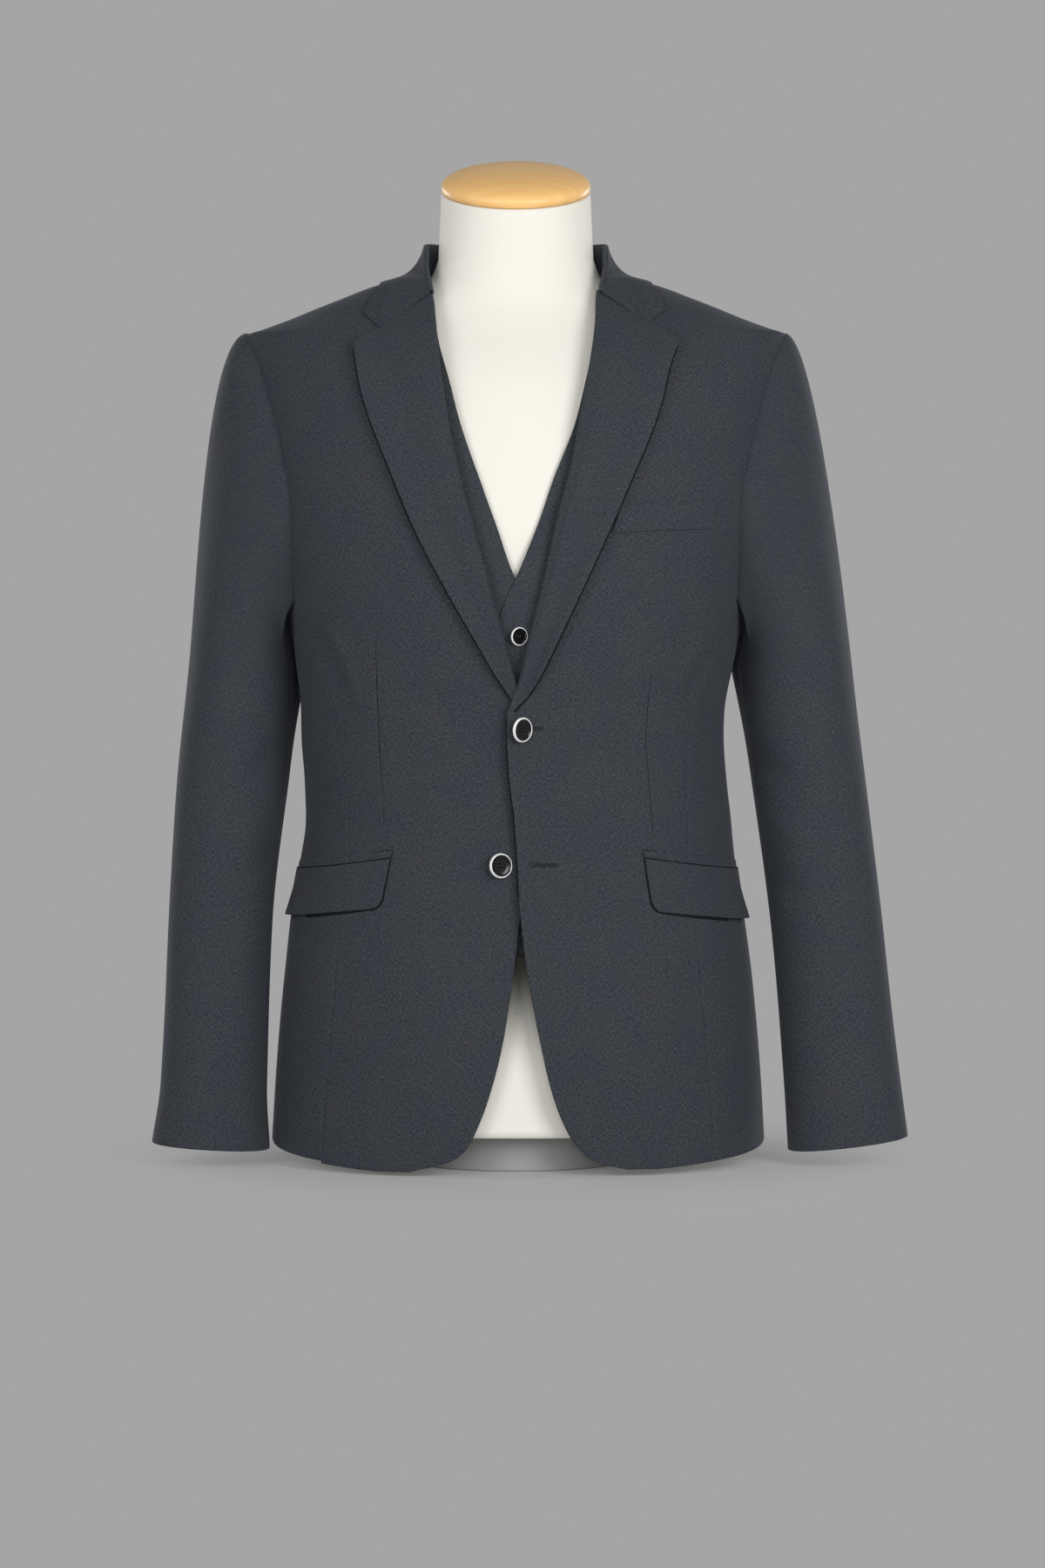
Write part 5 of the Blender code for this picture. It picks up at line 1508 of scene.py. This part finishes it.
# dress form
formCut = {
    "rows": [
        (0.030, 0.1895, 0.1275, 0.1135, 2.30), (0.107, 0.1840, 0.1235, 0.1065, 2.30),
        (0.193, 0.1740, 0.1155, 0.0895, 2.30), (0.278, 0.1610, 0.1105, 0.0745, 2.30),
        (0.364, 0.1600, 0.1135, 0.0765, 2.30), (0.455, 0.1705, 0.1200, 0.0910, 2.30),
        (0.500, 0.1835, 0.1205, 0.1005, 2.30), (0.550, 0.1900, 0.1145, 0.1035, 2.25),
        (0.600, 0.1940, 0.1020, 0.1005, 2.20), (0.630, 0.1930, 0.0910, 0.0955, 2.15),
        (0.655, 0.1860, 0.0780, 0.0890, 2.10), (0.670, 0.1740, 0.0690, 0.0840, 2.05),
        (0.685, 0.1460, 0.0610, 0.0770, 2.00), (0.697, 0.1140, 0.0560, 0.0710, 2.00),
        (0.708, 0.0880, 0.0535, 0.0670, 2.00), (0.720, 0.0700, 0.0520, 0.0650, 2.00),
        (0.735, 0.0635, 0.0510, 0.0640, 2.00),
    ],
    "neckCentre": (0.0065, 0.7916),
    "neckTilt": np.radians(20),
    "neckHalf": (0.061, 0.0605),
    "capHeight": 0.020,
    "capBand": 0.005,
    "around": 128,
    "bands": [(0.62, 90), (0.735, 50)],
    "base": (0.5, 0.97, 0.99),  # shares of the width on the flat base
    "seat": 0.0002,
    "neckSteps": 16,
    "neckTop": (0.98, 0.5),
    "capBase": (0.5, 0.97),
    "capLean": 0.985,  # share of a quarter turn at the top's last ring
    "capLay": 0.0004,
    "capRound": 0.0008,
    "capSteps": 26,
    "capShape": 0.9,
    "foot": {
        "radius": 0.1,
        "around": 96,
        "profile": [
            (0.5, 0), (0.985, 0), (0.997, 0.0006), (1.0, 0.002), (1.0, 0.0277), (0.997, 0.0291),
            (0.985, 0.0297), (0.5, 0.0297),
        ],
    },
}


def neckRing(around, reach, out):
    y, z = formCut["neckCentre"]
    tilt = formCut["neckTilt"]
    back = np.array([0, np.cos(tilt), np.sin(tilt)])
    up = np.array([0, -np.sin(tilt), np.cos(tilt)])
    wide, deep = formCut["neckHalf"]
    flat = np.sin(around)[:, None] * np.array([wide, 0, 0]) - np.cos(around)[:, None] * back * deep
    return np.array([0, y, z]) + flat * reach + up * out


def dressForm():
    rows, around = formCut["rows"], fullTurn(formCut["around"])
    low = rows[0][0]
    rings = [ring(rows, around, low + 0 * around) * np.array([s, s, 1]) for s in formCut["base"]]
    levels = stepped(low, formCut["bands"]) + formCut["seat"]
    rings += [ring(rows, around, level + 0 * around) for level in levels]
    top = neckRing(around, 1.0, 0.0)
    rings += [rings[-1] * (1 - s) + top * s for s in np.linspace(0, 1, formCut["neckSteps"])[1:]]
    rings += [neckRing(around, s, 0.0) for s in formCut["neckTop"]]
    dress(turnedShape("formTorso", rings, [creamJersey]), ["form_torso"])


def neckCap():
    around, lay, band = fullTurn(formCut["around"]), formCut["capLay"], formCut["capBand"]
    rings = [neckRing(around, s, lay) for s in formCut["capBase"]]
    rings.append(neckRing(around, 1.0, lay + formCut["capRound"]))
    for lean in np.linspace(0, np.pi / 2 * formCut["capLean"], formCut["capSteps"]):
        out = band + (formCut["capHeight"] - band) * np.sin(lean)
        rings.append(neckRing(around, np.cos(lean) ** formCut["capShape"], out))
    dress(turnedShape("neckCap", rings, [turnedPine]), ["neck_cap"])


def formFoot():
    foot = formCut["foot"]
    around = fullTurn(foot["around"])
    circle = np.stack([np.sin(around), -np.cos(around), 0 * around], axis=-1) * foot["radius"]
    rings = [circle * reach + np.array([0, 0, z]) for reach, z in foot["profile"]]
    dress(turnedShape("formFoot", rings, [footPaint]), ["form_foot"])


dressForm()
neckCap()
formFoot()
print("dress form ready")

# stage, light and camera
stageSet = {
    "grey": 0.376, "floor": 0.60, "radius": 8.0, "curve": 1.5, "height": 9.0, "around": 96, "steps": 16,
    "hole": 0.0005, "near": 0.02, "far": 0.42,
}


def studioStage():
    # pale round floor that shades softly under the suit and turns into an even wall all round it
    curve, radius = stageSet["curve"], stageSet["radius"]
    bend = np.linspace(0, np.pi / 2, stageSet["steps"])[1:]
    profile = [(stageSet["hole"], 0.0), (radius - curve, 0.0)]
    profile += [(radius - curve + curve * np.sin(a), curve - curve * np.cos(a)) for a in bend]
    profile.append((radius, stageSet["height"]))
    around = fullTurn(stageSet["around"])
    sheet = np.array([[(r * np.cos(a), r * np.sin(a), z) for a in around] for r, z in profile])
    spots = np.arange(len(profile) * len(around)).reshape(len(profile), -1)
    quads = gridQuads(np.concatenate([spots, spots[:, :1]], axis=1)[:, ::-1])
    paint, tree, shader, add = newFinish("stageGrey", **{"Roughness": 0.9, "Specular IOR Level": 0.0})
    shader.inputs["Base Color"].default_value = (stageSet["floor"],) * 3 + (1,)
    glow = add("ShaderNodeEmission", {"Color": (stageSet["grey"],) * 3 + (1,), "Strength": 1.0})
    place = add("ShaderNodeTexCoord")
    away = add("ShaderNodeVectorMath", {0: place.outputs["Object"]}, operation="LENGTH")
    share = add("ShaderNodeMapRange", {
        "Value": away.outputs["Value"], "From Min": stageSet["near"], "From Max": stageSet["far"],
    }, interpolation_type="SMOOTHSTEP")
    blend = add("ShaderNodeMixShader", {0: share.outputs[0], 1: shader.outputs[0], 2: glow.outputs[0]})
    tree.links.new(blend.outputs[0], tree.nodes["Material Output"].inputs["Surface"])
    floor = makeMesh("studioFloor", sheet.reshape(-1, 3), quads, np.zeros((spots.size, 2)), [paint])


lightSet = {
    "world": 0.17,
    "target": (0, 0, 0.45),
    # name, place, size, power
    "areas": [
        ("keySoftbox", (1.05, -1.6, 0.85), 0.9, 18.5),
        ("fillSoftbox", (-1.15, -1.6, 0.80), 0.9, 10.8),
        ("farSoftbox", (0.0, -4.6, 1.2), 1.8, 30.0),
        ("backSoftboxLeft", (-1.9, 2.2, 0.9), 0.9, 15.0),
        ("backSoftboxRight", (1.9, 2.2, 0.9), 0.9, 15.0),
    ],
}


def studioLight():
    world = bpy.data.worlds.new("studioAir")
    world.use_nodes = True
    air = world.node_tree.nodes["Background"].inputs
    air["Color"].default_value, air["Strength"].default_value = (1, 1, 1, 1), lightSet["world"]
    scene.world = world
    for name, place, size, power in lightSet["areas"]:
        lamp = bpy.data.lights.new(name, "AREA")
        lamp.size, lamp.energy = size, power
        thing = newPiece(name, lamp)
        thing.location = place
        thing.visible_camera = False
        way = Vector(lightSet["target"]) - thing.location
        thing.rotation_euler = way.to_track_quat("-Z", "Y").to_euler()


cameraSet = {"at": (0.0054, -3.3, 0.4141), "lens": 92.3, "sensor": 36.0, "pitch": np.radians(-1.862)}


def photoCamera():
    lens = bpy.data.cameras.new("photoCamera")
    lens.lens, lens.sensor_width, lens.sensor_fit = cameraSet["lens"], cameraSet["sensor"], "AUTO"
    scene.camera = newPiece("photoCamera", lens)
    scene.camera.location = cameraSet["at"]
    scene.camera.rotation_euler = (np.pi / 2 + cameraSet["pitch"], 0, 0)


studioStage()
studioLight()
photoCamera()
scene.view_settings.view_transform = "Standard"
scene.view_settings.look = "None"
print("stage ready")
